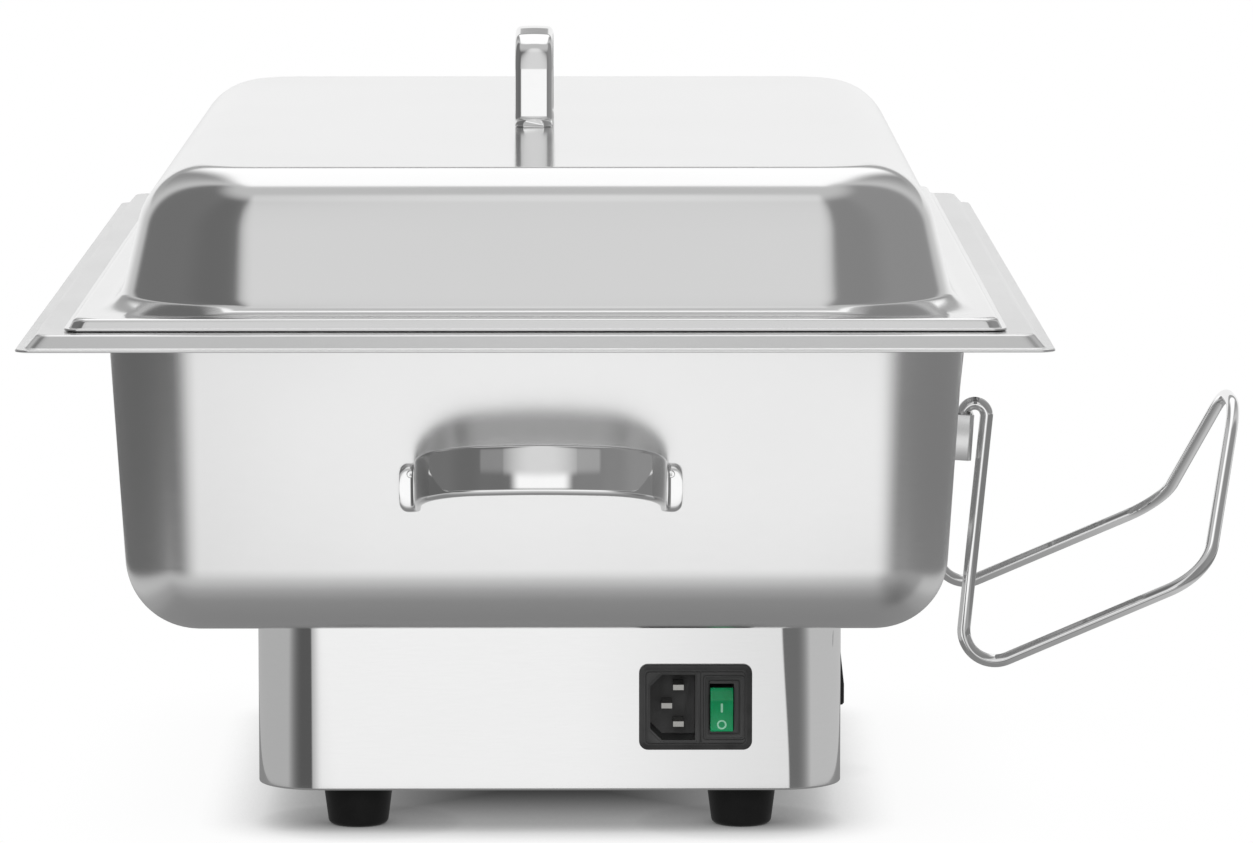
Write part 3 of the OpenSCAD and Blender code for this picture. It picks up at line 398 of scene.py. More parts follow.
def sweep(stations, side, section_at):
    """Rings of a section along a line. section_at gives the outline at a distance from the nearer end."""
    lengths = [0.0]
    for (a, _), (b, _) in zip(stations, stations[1:]):
        lengths.append(lengths[-1] + (b - a).length)
    rings = []
    for (place, direction), run in zip(stations, lengths):
        side = turned(side, direction)
        up = direction.cross(side)
        outline = section_at(min(run, lengths[-1] - run))
        rings.append([place + side * x + up * y for x, y in outline])
    return rings


def crowded_ends(stations, reach, count=7):
    """The stations with more of them near both ends, where the ends are rounded."""
    first, direction = stations[0]
    last, end_direction = stations[-1]
    steps = [reach * (1 - math.cos(math.pi / 2 * k / count)) for k in range(1, count + 1)]
    head = [(first + direction * s, direction) for s in steps]
    tail = [(last - end_direction * s, end_direction) for s in reversed(steps)]
    return [stations[0]] + head + stations[1:-1] + tail + [stations[-1]]


def end_share(run, reach):
    """How wide a rounded end is at a distance from its tip, as a height above the reach's centre."""
    short = max(0.0, reach - run)
    return math.sqrt(max(0.0, reach * reach - short * short))


# Meshes


def loft(rings, caps=True, loop=False):
    """Vertices and faces through rings with as many points each."""
    count = len(rings[0])
    rows = len(rings)
    verts = [tuple(p) for ring in rings for p in ring]
    faces = []
    for i in range(rows if loop else rows - 1):
        a = i * count
        b = (i + 1) % rows * count
        for j in range(count):
            k = (j + 1) % count
            faces.append((a + j, a + k, b + k, b + j))
    if caps and not loop:
        faces.append(tuple(range(count)))
        faces.append(tuple((rows - 1) * count + j for j in range(count)))
    return verts, faces


def add_object(name, data):
    """A new object in the scene."""
    item = bpy.data.objects.new(name, data)
    bpy.context.scene.collection.objects.link(item)
    return item


def solid_mesh(name, verts, faces, place=UNMOVED):
    """A mesh in metres from millimetres, with all its faces looking outward."""
    mesh = bpy.data.meshes.new(name)
    mesh.from_pydata(verts, [], faces)
    mesh.transform(Matrix.Scale(MM, 4) @ place)
    work = bmesh.new()
    work.from_mesh(mesh)
    bmesh.ops.recalc_face_normals(work, faces=work.faces)
    work.to_mesh(mesh)
    work.free()
    return mesh


def shade_smooth(mesh, sharp=None):
    """Shades a mesh smooth, apart from edges that are sharper than an angle in degrees."""
    mesh.shade_smooth()
    if sharp:
        mesh.set_sharp_from_angle(angle=math.radians(sharp))


def make_piece(name, parts, material, body, node=None, smooth=True, sharp=None, place=UNMOVED):
    """A mesh object from (vertices, faces) parts in millimetres, riding on a body."""
    verts = []
    faces = []
    for part_verts, part_faces in parts:
        start = len(verts)
        verts += part_verts
        faces += [tuple(start + i for i in face) for face in part_faces]
    mesh = solid_mesh(name, verts, faces, place)
    mesh.materials.append(material)
    if smooth:
        shade_smooth(mesh, sharp)
    piece = add_object(name, mesh)
    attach(piece, body)
    if node:
        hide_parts(node)
    return piece


def apply_modifier(piece, kind, **settings):
    """Adds a modifier to a piece and makes its result the piece's own mesh."""
    modifier = piece.modifiers.new(kind.lower(), kind)
    for key, value in settings.items():
        setattr(modifier, key, value)
    result = bpy.data.meshes.new_from_object(piece.evaluated_get(bpy.context.evaluated_depsgraph_get()))
    piece.modifiers.remove(modifier)
    old = piece.data
    piece.data = result
    bpy.data.meshes.remove(old)


def cut_with(piece, *parts):
    """Cuts closed (vertices, faces) solids in millimetres out of a piece."""
    for verts, faces in parts:
        mesh = solid_mesh("cutter", verts, faces)
        cutter = add_object("cutter", mesh)
        apply_modifier(piece, "BOOLEAN", operation="DIFFERENCE", solver="EXACT", object=cutter)
        bpy.data.objects.remove(cutter)
        bpy.data.meshes.remove(mesh)


def soften(piece, width, segments, angle):
    """Rounds edges that are sharper than an angle in degrees, and shades the piece smooth between them."""
    limit = math.radians(angle)
    apply_modifier(
        piece, "BEVEL", width=width * MM, segments=segments, limit_method="ANGLE", angle_limit=limit
    )
    shade_smooth(piece.data, angle + 10)


def prism(outline, axis, start, end):
    """A closed solid: an outline of two coordinates, drawn out along axis x, y or z."""
    def at(p, depth):
        a, b = p
        return {"x": (depth, a, b), "y": (a, depth, b), "z": (a, b, depth)}[axis]
    return loft([[at(p, start) for p in outline], [at(p, end) for p in outline]])


def rectangle(width, height, x=0.0, y=0.0):
    """Outline of a rectangle about a middle."""
    a, b = width / 2, height / 2
    return [(x - a, y - b), (x + a, y - b), (x + a, y + b), (x - a, y + b)]


def round_rectangle(width, height, radius, x=0.0, y=0.0, steps=8):
    """Outline of a rectangle with round corners about a middle."""
    outline = []
    for quarter, (sx, sy) in enumerate(((1, 1), (-1, 1), (-1, -1), (1, -1))):
        for k in range(steps + 1):
            w = math.radians(90 * (quarter + k / steps))
            outline.append((
                x + sx * (width / 2 - radius) + radius * math.cos(w),
                y + sy * (height / 2 - radius) + radius * math.sin(w),
            ))
    return outline


def disc(radius, count, x=0.0, y=0.0):
    """Outline of a circle."""
    turns = [2 * math.pi * k / count for k in range(count)]
    return [(x + radius * math.cos(w), y + radius * math.sin(w)) for w in turns]


def lathe(profile, count=LATHE_STEPS):
    """A turned form about +Z from a closed profile of (radius, height)."""
    rings = []
    for k in range(count):
        w = 2 * math.pi * k / count
        rings.append([(r * math.cos(w), r * math.sin(w), z) for r, z in profile])
    return loft(rings, loop=True)


def arc_points(middle, radius, start, end, count):
    """Points of an arc in a profile, in degrees."""
    angles = [math.radians(start + (end - start) * k / count) for k in range(count + 1)]
    return [(middle[0] + radius * math.cos(w), middle[1] + radius * math.sin(w)) for w in angles]


def moved(part, matrix):
    """A (vertices, faces) part moved by a matrix."""
    verts, faces = part
    return [tuple(matrix @ Vector(v)) for v in verts], faces


# Materials


def plug(tree, node, inputs):
    """Gives a node's inputs numbers, tuples or other nodes' outputs."""
    for key, value in inputs.items():
        if isinstance(value, bpy.types.NodeSocket):
            tree.links.new(value, node.inputs[key])
        else:
            node.inputs[key].default_value = value


def add_node(tree, kind, inputs=None, **settings):
    """A new shader node with its settings and inputs. Gives its outputs."""
    node = tree.nodes.new("ShaderNode" + kind)
    for key, value in settings.items():
        setattr(node, key, value)
    plug(tree, node, inputs or {})
    return node.outputs


def calc(tree, operation, *values):
    """A math node's result."""
    return add_node(tree, "Math", dict(enumerate(values)), operation=operation)["Value"]


def spread(tree, value, low, high, start=0.3, end=0.7, rise="LINEAR"):
    """A rise from low to high as a value goes from start to end."""
    inputs = {"Value": value, "From Min": start, "From Max": end, "To Min": low, "To Max": high}
    return add_node(tree, "MapRange", inputs, interpolation_type=rise)["Result"]


def slope(tree, value, start, end, low=0.0, high=1.0):
    """A smooth rise from low to high as a value goes from start to end."""
    return spread(tree, value, low, high, start, end, "SMOOTHSTEP")


def blend(tree, share, low, high):
    """A value between two, by a share."""
    return add_node(tree, "Mix", {"Factor": share, "A": low, "B": high})["Result"]


def tint(tree, share, dark, light):
    """A colour between two, by a share."""
    inputs = {"Factor": share, "A": (*dark, 1), "B": (*light, 1)}
    return add_node(tree, "Mix", inputs, data_type="RGBA")["Result"]


def coordinates(tree, kind):
    """A place in the piece's own metres (Object), or a direction in the world (Generated)."""
    return add_node(tree, "TexCoord")[kind]


def noise(tree, scale, stretch=(1, 1, 1), detail=3.0):
    """A noise texture in the piece's own coordinates, finer along some axes."""
    place = add_node(tree, "Mapping", {"Vector": coordinates(tree, "Object"), "Scale": stretch})["Vector"]
    return add_node(tree, "TexNoise", {"Vector": place, "Scale": scale, "Detail": detail})["Fac"]


def bump(tree, height, distance, under=None):
    """A normal from a height, in metres of distance, over another normal."""
    inputs = {"Height": height, "Distance": distance}
    if under:
        inputs["Normal"] = under
    return add_node(tree, "Bump", inputs)["Normal"]


def new_material(name):
    """A node material, its node tree and its Principled shader."""
    material = bpy.data.materials.new(name)
    material.use_nodes = True
    return material, material.node_tree, material.node_tree.nodes["Principled BSDF"]


SMEAR_SCALE = 9.0
SHEET_WAVE_SCALE = 7.0
MOTTLE_SCALE = 120.0
STRIPE_SCALE = 55.0
SLEEVE_GRAIN = 900.0
EVEN = (1, 1, 1)


def metal(name, dark, light, rough, grain, grain_scale, grain_depth, wave=0.0):
    """Sheet or turned metal: fine grain along one direction, small smears, and faint waves in the sheet."""
    material, tree, shader = new_material(name)
    fine = noise(tree, grain_scale, grain, 4.0)
    smears = spread(tree, noise(tree, SMEAR_SCALE, detail=2.0), 0.1, 0.4)
    mixed = calc(tree, "MULTIPLY_ADD", fine, 0.5, smears)
    normal = bump(tree, fine, grain_depth)
    if wave:
        normal = bump(tree, noise(tree, SHEET_WAVE_SCALE, detail=1.0), wave, normal)
    plug(tree, shader, {
        "Metallic": 1.0,
        "Base Color": tint(tree, mixed, dark, light),
        "Roughness": spread(tree, mixed, *rough),
        "Normal": normal,
    })
    return material


def moulded(name, dark, light, rough, grain_scale=2600.0, grain_depth=1.2e-5, specular=0.5):
    """Moulded plastic or rubber: fine spark-eroded grain and a slightly uneven colour."""
    material, tree, shader = new_material(name)
    mottle = noise(tree, MOTTLE_SCALE)
    plug(tree, shader, {
        "Specular IOR Level": specular,
        "Base Color": tint(tree, spread(tree, mottle, 0, 1), dark, light),
        "Roughness": spread(tree, mottle, *rough),
        "Normal": bump(tree, noise(tree, grain_scale, detail=2.0), grain_depth),
    })
    return material


def translucent_green(name):
    """Glossy green switch plastic with a little depth."""
    material = moulded(name, (0.002, 0.27, 0.09), (0.005, 0.35, 0.13), (0.14, 0.2), 2600.0, 2e-6, 0.35)
    depth = {"Subsurface Weight": 0.25, "Subsurface Radius": (0.0004, 0.0016, 0.0008)}
    plug(material.node_tree, material.node_tree.nodes["Principled BSDF"], depth)
    return material


def striped_sleeve(name, main, stripe):
    """A lead's sleeve with a second colour winding along it."""
    material, tree, shader = new_material(name)
    inputs = {"Vector": coordinates(tree, "Object"), "Scale": STRIPE_SCALE, "Distortion": 0.6}
    wave = add_node(tree, "TexWave", inputs)["Fac"]
    plug(tree, shader, {
        "Base Color": tint(tree, spread(tree, wave, 0, 1, 0.45, 0.55), main, stripe),
        "Roughness": spread(tree, noise(tree, SLEEVE_GRAIN), 0.42, 0.6),
    })
    return material


def grey(level):
    return level, level, level


SATIN = metal("satin_steel", grey(0.80), grey(0.87), (0.21, 0.27), (1, 1, 14), 160.0, 4e-7, 2e-5)
SATIN_BASE = metal("base_steel", grey(0.81), grey(0.87), (0.05, 0.08), (1, 1, 14), 160.0, 2e-7, 5e-6)
LID_STEEL = metal("lid_steel", grey(0.81), grey(0.87), (0.11, 0.15), (14, 1, 14), 120.0, 3e-7, 1e-5)
PAN_STEEL = metal("pan_steel", grey(0.78), grey(0.86), (0.16, 0.24), (14, 1, 1), 160.0, 6e-7, 2e-5)
CHROME = metal("polished_steel", grey(0.82), grey(0.88), (0.03, 0.06), EVEN, 300.0, 2e-7)
ZINC = metal("zinc_plate", (0.62, 0.63, 0.64), (0.74, 0.75, 0.75), (0.22, 0.36), EVEN, 900.0, 2e-6)
# The pins' nickel is darkened: painted shade, for how dark they sit in the socket.
NICKEL_PAINTED_SHADE = metal("nickel_pins_painted_shade", (0.30, 0.295, 0.28), (0.42, 0.415, 0.40), (0.16, 0.26), EVEN, 900.0, 1e-6)
TINNED = metal("tinned_brass", (0.80, 0.79, 0.74), (0.90, 0.89, 0.85), (0.14, 0.24), EVEN, 900.0, 1e-6)
ALUMINIUM = metal("mill_aluminium", (0.7, 0.7, 0.71), (0.8, 0.8, 0.81), (0.3, 0.42), (1, 40, 1), 60.0, 3e-6)
SHEATH = metal("heater_sheath", (0.10, 0.095, 0.085), (0.24, 0.22, 0.19), (0.42, 0.62), EVEN, 240.0, 6e-6)
COPPER = metal("drawn_copper", (0.60, 0.30, 0.18), (0.78, 0.43, 0.28), (0.24, 0.38), EVEN, 400.0, 2e-6)
RUBBER = moulded("foot_rubber", grey(0.004), grey(0.008), (0.4, 0.54), 1800.0, 1.5e-5, 0.3)
PLASTIC = moulded("inlet_plastic", grey(0.026), grey(0.042), (0.38, 0.5))
DIAL_PLASTIC = moulded("dial_plastic", grey(0.008), grey(0.014), (0.3, 0.42), 2600.0, 1e-5)
BODY_PLASTIC = moulded("thermostat_plastic", grey(0.05), grey(0.09), (0.5, 0.65), 1400.0, 2e-5)
CERAMIC = moulded("cutout_ceramic", (0.74, 0.70, 0.60), (0.84, 0.81, 0.72), (0.3, 0.45), 900.0, 8e-6)
GREEN = translucent_green("switch_green")
MINT = moulded("switch_print", (0.30, 0.66, 0.46), (0.38, 0.74, 0.54), (0.35, 0.45), 1800.0, 3e-6)
DIAL_PRINT = moulded("dial_print", (0.70, 0.70, 0.69), (0.80, 0.80, 0.79), (0.45, 0.6), 1800.0, 4e-6)
SLEEVE = ((0.45, 0.6), 700.0, 2e-5)
BROWN = moulded("sleeve_brown", (0.13, 0.05, 0.018), (0.20, 0.085, 0.03), *SLEEVE)
BLACK = moulded("sleeve_black", grey(0.012), grey(0.026), *SLEEVE)
WHITE = moulded("sleeve_white", (0.70, 0.69, 0.64), (0.82, 0.81, 0.77), (0.6, 0.75), 2600.0, 5e-5)
BLUE = moulded("sleeve_blue", (0.03, 0.09, 0.34), (0.05, 0.14, 0.46), *SLEEVE)
EARTH = striped_sleeve("sleeve_earth", (0.04, 0.26, 0.03), (0.72, 0.60, 0.03))

# CAD meshes that keep their shape
MESH_LOOKS = (
    (SATIN_BASE, "base_plate"),
    (ZINC, "foot_screws foot_nuts plate_screws tank_studs stud_nuts element_pins element_clamps"),
    (ZINC, "clamp_screws shield_spacers shield_screws thermostat_screws earth_stud thermostat_spindle"),
    (ALUMINIUM, "heat_spreader heat_shield"),
    (SHEATH, "heating_element"),
    (CERAMIC, "thermal_cutout"),
    (BODY_PLASTIC, "thermostat_body"),
    (COPPER, "thermostat_bulb capillary_tube"),
    (TINNED, "earth_nut switch_tabs"),
    (NICKEL_PAINTED_SHADE, "inlet_pins"),
    (BROWN, "lead_live"),
    (BLACK, "lead_switched"),
    (WHITE, "lead_heater"),
    (BLUE, "lead_neutral"),
    (EARTH, "lead_earth"),
)


# Pressed shells: tank, food pan and lid


def pressing(name, line, radii, thickness, half, corners, material, body, node):
    """A pressed sheet with round corners.

    The line runs from the wall's inner end to the edge. Its x is minus the distance in from the edge.
    """
    points = [Vector(p) for p in line]
    middle = points[0] - Vector((FLAT_IN, 0))
    edge = points.pop() - Vector((thickness / 2, 0))
    stations = bend([middle] + points + [edge], [0, *radii, 0], end_guard=thickness / 4)
    rings = []
    for point in sheet_section(stations, thickness):
        inset = -point.x
        radius = press_radius(inset, *corners)
        rings.append(corner_ring(half.x - inset, half.y - inset, radius, point.y))
    place = Matrix.Translation((TANK_X, 0, 0))
    make_piece(name, [loft(rings)], material, body, node, place=place)


def water_tank():
    """The tank: a drafted wall, a shelf for the pan, a step down and a lip."""
    shelf = SHELF_Z - TANK_T / 2
    bottom = BASE_TOP + TANK_T / 2
    lean = math.tan(TANK_DRAFT) * (shelf - bottom)
    line = [
        (-WALL_IN - lean, bottom),
        (-WALL_IN, shelf),
        (-LIP_W - STEP_W, shelf),
        (-LIP_W, shelf - STEP_H),
        (0, shelf - STEP_H),
    ]
    pressing(
        "water_tank_shell", line, (TANK_BOTTOM_R, SHELF_R, FOLD_R, FOLD_R), TANK_T, TANK_HALF,
        (RIM_R, LIP_W + STEP_W, WALL_IN, TANK_R), SATIN, "base", "water_tank",
    )


def food_pan():
    """The pan that hangs in the tank by its rim."""
    rim = pan_high.z - PAN_T / 2
    bottom = pan_low.z + PAN_T / 2
    lean = math.tan(PAN_DRAFT) * (rim - bottom)
    line = [(-PAN_RIM_W - lean, bottom), (-PAN_RIM_W, rim), (0, rim)]
    pressing(
        "food_pan_shell", line, (PAN_BOTTOM_R, PAN_FOLD_R), PAN_T, PAN_HALF,
        (PAN_RIM_R, 0, PAN_RIM_W, PAN_R), PAN_STEEL, "food_pan", "food_pan",
    )


def lid():
    """The domed lid: sloping wall, flange, step down and lip."""
    top = lid_high.z - LID_T / 2
    lip = lid_low.z + LID_T / 2
    flange = lip + LID_STEP_H
    lean = math.tan(LID_SLOPE) * (top - flange)
    line = [
        (-LID_WALL_IN - lean, top),
        (-LID_WALL_IN, flange),
        (-LID_LIP_W - LID_STEP_W, flange),
        (-LID_LIP_W, lip),
        (0, lip),
    ]
    pressing(
        "lid_dome", line, (LID_TOP_R, LID_FOOT_R, LID_FOLD_R, LID_T), LID_T, LID_HALF,
        (LID_EDGE_R, LID_LIP_W + LID_STEP_W, LID_WALL_IN, LID_R),
        LID_STEEL, "lid", "lid_shell",
    )


# Handles, welds, wire holder and pockets


def tank_front(z):
    """Distance from the middle to the tank's front face at a height."""
    drop = SHELF_Z - TANK_T / 2 - z
    wall_in = WALL_IN + math.tan(TANK_DRAFT) * drop - TANK_T / 2 / math.cos(TANK_DRAFT)
    return TANK_HALF.y - wall_in


def tank_side(z):
    """Distance from the middle to the tank's side face at a height."""
    return tank_front(z) - TANK_HALF.y + TANK_HALF.x


def strap_outline(height, edge):
    """Section of a strap: a flat back, a slightly crowned face and round edges. x points out, y across."""
    half = STRAP_T / 2
    back = max(height / 2 - STRAP_BACK_R, LEAST_HALF)
    reach = max(height / 2 - edge, LEAST_HALF)
    back_arc = arc_points((back, STRAP_BACK_R - half), STRAP_BACK_R, -90, 0, 4)
    face_arc = arc_points((reach, half - STRAP_CROWN - edge), edge, 0, 90, 8)
    side = [(x, y) for y, x in back_arc + face_arc]
    outline = [(-half, back * k / 4) for k in range(-3, 4)] + side
    for k in range(1, 16):
        share = 1 - k / 8
        outline.append((half - STRAP_CROWN * share * share, reach * share))
    return outline + [(x, -y) for x, y in reversed(side)]


def strap_stations(width, tab, shoulder_in, shoulder_out, out, shoulder_r, front_r):
    """A strap's line on two tabs: along x, standing out along y."""
    seat = STRAP_T / 2 + WELD_GAP
    foot = width / 2 - tab
    points = [
        (-width / 2, seat),
        (-foot, seat),
        (-foot + shoulder_in, shoulder_out),
        (0, out),
        (foot - shoulder_in, shoulder_out),
        (foot, seat),
        (width / 2, seat),
    ]
    radii = [0, STRAP_ROOT_R, shoulder_r, front_r, shoulder_r, STRAP_ROOT_R, 0]
    return bend([Vector((x, y, 0)) for x, y in points], radii, step=STRAP_STEP, end_guard=0)


def strap(stations, height, edge, rise=0.0, lean=0.0):
    """A strap with rounded tab ends, that rises and leans back the more it stands out."""
    def section(run):
        return strap_outline(height - 2 * (TAB_CORNER_R - end_share(run, TAB_CORNER_R)), edge)

    rings = sweep(crowded_ends(stations, TAB_CORNER_R), Vector((0, 1, 0)), section)
    return loft([
        [(p.x, p.y * (1 - lean * p.z), p.z + rise * max(0.0, p.y)) for p in ring]
        for ring in rings
    ])


def weld_spots(name, spots, turn, material, body, place):
    """Spot welds' dimples, each a low ring round a hollow that a turn takes from +Z to its face."""
    mark = lathe([(max(WELD_R * r, LEAST_WELD_R), WELD_H * z) for r, z in WELD_PROFILE], WELD_SIDES)
    marks = [moved(mark, Matrix.Translation(spot) @ turn) for spot in spots]
    make_piece(name + "_welds", marks, material, body, place=place)


def welded_strap(name, node, body, solid, length, up, rise, place):
    """A handle strap with two spot welds on each tab."""
    make_piece(name, [solid], CHROME, body, node, place=place)
    reach = length / 2 - WELD_IN
    spots = [(x * reach, WELD_OUT, z * up + rise * WELD_OUT) for x, z in FOUR_CORNERS]
    turn = Matrix.Rotation(-math.pi / 2, 4, "X")
    weld_spots(name, spots, turn, CHROME, body, place)


def tank_handle(name, node, turn):
    """A bow handle welded to the tank's front, or with a half turn to its rear."""
    bow_z = SHELF_Z - BOW_DROP
    place = (
        Matrix.Translation((TANK_X, 0, 0))
        @ Matrix.Rotation(math.radians(turn), 4, "Z")
        @ Matrix.Translation((BOW_SIDE, -tank_front(bow_z), bow_z))
        @ Matrix.Rotation(TANK_DRAFT, 4, "X")
        @ Matrix.Diagonal((1, -1, 1, 1))
    )
    stations = strap_stations(
        BOW_W, BOW_TAB, BOW_SHOULDER_IN, BOW_SHOULDER_OUT, BOW_OUT, BOW_SHOULDER_R, BOW_FRONT_R
    )
    bow = strap(stations, BOW_H, STRAP_EDGE_R, BOW_RISE, math.tan(BOW_LEAN) / BOW_OUT)
    welded_strap(name, node, "base", bow, BOW_W, BOW_H * BOW_WELD_UP, BOW_RISE, place)


def lid_handle():
    """The strap handle along the lid's top."""
    middle = GRIP_H - STRAP_T / 2
    stations = strap_stations(
        GRIP_L, GRIP_TAB, GRIP_LEAN, middle - GRIP_CROWN, middle, GRIP_SHOULDER_R, GRIP_FRONT_R
    )
    place = (
        Matrix.Translation((TANK_X + GRIP_SIDE, 0, LID_TOP))
        @ Matrix.Rotation(math.pi / 2, 4, "Z")
        @ Matrix.Rotation(math.pi / 2, 4, "X")
    )
    grip = strap(stations, GRIP_W, GRIP_EDGE_R)
    welded_strap("lid_grip", "lid_handle", "lid", grip, GRIP_L, GRIP_W * GRIP_WELD_UP, 0.0, place)


def lid_holder():
    """The bent wire that hooks into both pockets."""
    pocket_top = SHELF_Z - POCKET_DROP
    strand = 2 * WIRE_R + HOOK_GAP
    pocket_out = tank_side(pocket_top) + POCKET_OUT
    hook_x = pocket_out - POCKET_T / math.cos(TANK_DRAFT) - SEAT_GAP - WIRE_R
    hook_z = pocket_top + SEAT_GAP + WIRE_R
    leg_x = hook_x + strand - LEG_LEAN
    leg_z = hook_z - LEG_H
    arm_x = leg_x + ARM_OUT
    arm_z = leg_z + ARM_RISE
    y = HOLDER_SPAN / 2
    half = [
        (hook_x - math.tan(TANK_DRAFT) * HOOK_REACH, -y, hook_z - WIRE_R - HOOK_REACH),
        (hook_x, -y, hook_z),
        (hook_x + strand, -y, hook_z),
        (leg_x, -y, leg_z),
        (arm_x, -y, arm_z),
        (arm_x + ARCH_OUT, -ARCH_TIP / 2, arm_z + ARCH_RISE),
    ]
    hook_r = strand / 2 - HOOK_PLAY
    half_radii = [0, hook_r, hook_r, LEG_BEND_R, ARCH_FOOT_R, ARCH_TIP_R]
    points = half + [(x, -y, z) for x, y, z in reversed(half)]
    stations = bend([Vector(p) for p in points], half_radii + half_radii[::-1], end_guard=0)

    def section(run):
        return disc(max(end_share(run, WIRE_R), LEAST_WIRE_R), WIRE_SIDES)

    rings = sweep(crowded_ends(stations, WIRE_R), Vector((0, 1, 0)), section)
    place = Matrix.Translation((TANK_X, 0, 0))
    wire = loft(rings)
    make_piece("holder_wire", [wire], CHROME, "lid_holder", "lid_holder", place=place)


def holder_pocket(name, node, y):
    """A hat-shaped sheet pocket, spot-welded to the tank's right side."""
    pocket_mid = SHELF_Z - POCKET_DROP - POCKET_H / 2
    half = POCKET_W / 2
    sheet = POCKET_T / 2
    points = [
        (sheet, sheet - half - POCKET_FLANGE),
        (sheet, sheet - half),
        (POCKET_OUT - WELD_GAP - sheet, sheet - half),
    ]
    points += [(x, -v) for x, v in reversed(points)]
    line = bend([Vector(p) for p in points], [0] + [POCKET_BEND_R] * 4 + [0], step=10, guard=0.2)
    section = sheet_section(line, POCKET_T, both_ends=True)
    solid = prism([tuple(p) for p in section], "z", -POCKET_H / 2, POCKET_H / 2)
    place = (
        Matrix.Translation((TANK_X + tank_side(pocket_mid) + WELD_GAP, y, pocket_mid))
        @ Matrix.Rotation(TANK_DRAFT, 4, "Y")
    )
    piece = make_piece(name, [solid], SATIN, "base", node, place=place)
    soften(piece, POCKET_EDGE_R, 2, 40)
    reach = half + POCKET_FLANGE * POCKET_WELD_OUT
    spots = [(POCKET_T, side * reach, z * POCKET_H * POCKET_WELD_UP) for side, z in FOUR_CORNERS]
    weld_spots(name, spots, Matrix.Rotation(math.pi / 2, 4, "Y"), SATIN, "base", place)


# Base, feet, inlet and dial


def base_housing():
    """Bent wall with a top flange and its two cut-outs, and the inner bottom flange."""
    low = base_low.z + BASE_T / 2
    top = base_high.z - BASE_T / 2

    def ring(inset, z):
        return corner_ring(BASE_HALF.x - inset, BASE_HALF.y - inset, max(LEAST_R, BASE_R - inset), z)

    line = [Vector((-BASE_T / 2, low)), Vector((-BASE_T / 2, top)), Vector((BASE_T / 2 - TOP_FLANGE, top))]
    outline = sheet_section(bend(line, [0, BASE_EDGE_R, 0], end_guard=0.3), BASE_T, both_ends=True)
    wall = loft([ring(-p.x, p.y) for p in outline], loop=True)
    place = Matrix.Translation((BASE_X, 0, 0))
    piece = make_piece("base_shell", [wall], SATIN_BASE, "base", "base_housing", place=place)
    opening = rectangle(INLET_BODY_W + 2 * CUT_ROOM, INLET_BODY_H + 2 * CUT_ROOM, INLET.x, INLET.z)
    hole = disc(SPINDLE_HOLE_R, HOLE_SIDES, KNOB.y, KNOB.z)
    cut_with(
        piece,
        prism(opening, "y", base_low.y - BASE_T, base_low.y + 2 * BASE_T),
        prism(hole, "x", base_high.x - 2 * BASE_T, base_high.x + BASE_T),
    )
    shade_smooth(piece.data, SHARP_ANGLE)
    flange_z = base_low.z + FLANGE_UP
    inner = BASE_T + BOTTOM_FLANGE
    section = ((BASE_T, 0), (inner, 0), (inner, BASE_T), (BASE_T, BASE_T))
    flange = loft([ring(inset, flange_z + up) for inset, up in section], loop=True)
    make_piece(
        "base_flange", [flange], SATIN_BASE, "base", sharp=SHARP_ANGLE, place=place
    )


def foot(name, node):
    """A moulded foot: collar, tapered body, round lower edge and screw recess."""
    low, high = box_mm(node)
    height = high.z - low.z
    collar_z = height - FOOT_COLLAR
    neck_r = FOOT_BOTTOM_R + (FOOT_TOP_R - FOOT_BOTTOM_R) * collar_z / height - FOOT_NECK_IN
    profile = [
        (FOOT_BORE_R, FOOT_RECESS),
        (FOOT_RECESS_R - FOOT_CHAMFER, FOOT_RECESS),
        (FOOT_RECESS_R, FOOT_RECESS - FOOT_CHAMFER),
        (FOOT_RECESS_R, FOOT_MOUTH),
        (FOOT_RECESS_R + FOOT_MOUTH, 0),
        *arc_points((FOOT_BOTTOM_R - FOOT_EDGE_R, FOOT_EDGE_R), FOOT_EDGE_R, -90, -8, 8),
        (neck_r, collar_z - FOOT_CHAMFER),
        (neck_r + 0.1, collar_z),
        (FOOT_TOP_R - 0.5, collar_z + 0.35),
        (FOOT_TOP_R - 0.25, collar_z + 0.9),
        (FOOT_TOP_R, height - 0.6),
        (FOOT_TOP_R - 0.5, height),
        (FOOT_BORE_R, height),
    ]
    place = Matrix.Translation(((low.x + high.x) / 2, (low.y + high.y) / 2, low.z))
    make_piece(name, [lathe(profile)], RUBBER, "base", node, sharp=SHARP_ANGLE, place=place)


def socket_outline(grow):
    """Outline of the mains socket with its two cut corners, about its middle."""
    w = SOCKET_W / 2 + grow
    h = SOCKET_H / 2 + grow
    c = SOCKET_CUT
    return [(w, -h), (w, h), (c - w, h), (-w, h - c), (-w, c - h), (c - w, -h)]


def frame_groove(width, height, radius, middle, face):
    """A narrow groove's solid along a rectangle with round corners, in a face that looks along y."""
    outer = round_rectangle(width, height, radius, *middle, steps=4)
    inner = round_rectangle(width - 2 * GROOVE, height - 2 * GROOVE, radius - GROOVE, *middle, steps=4)
    start = face - CUT_PAST
    end = face + GROOVE_DEPTH
    rings = [(outer, start), (outer, end), (inner, end), (inner, start)]
    return loft([[(x, y, z) for x, z in outline] for outline, y in rings], loop=True)


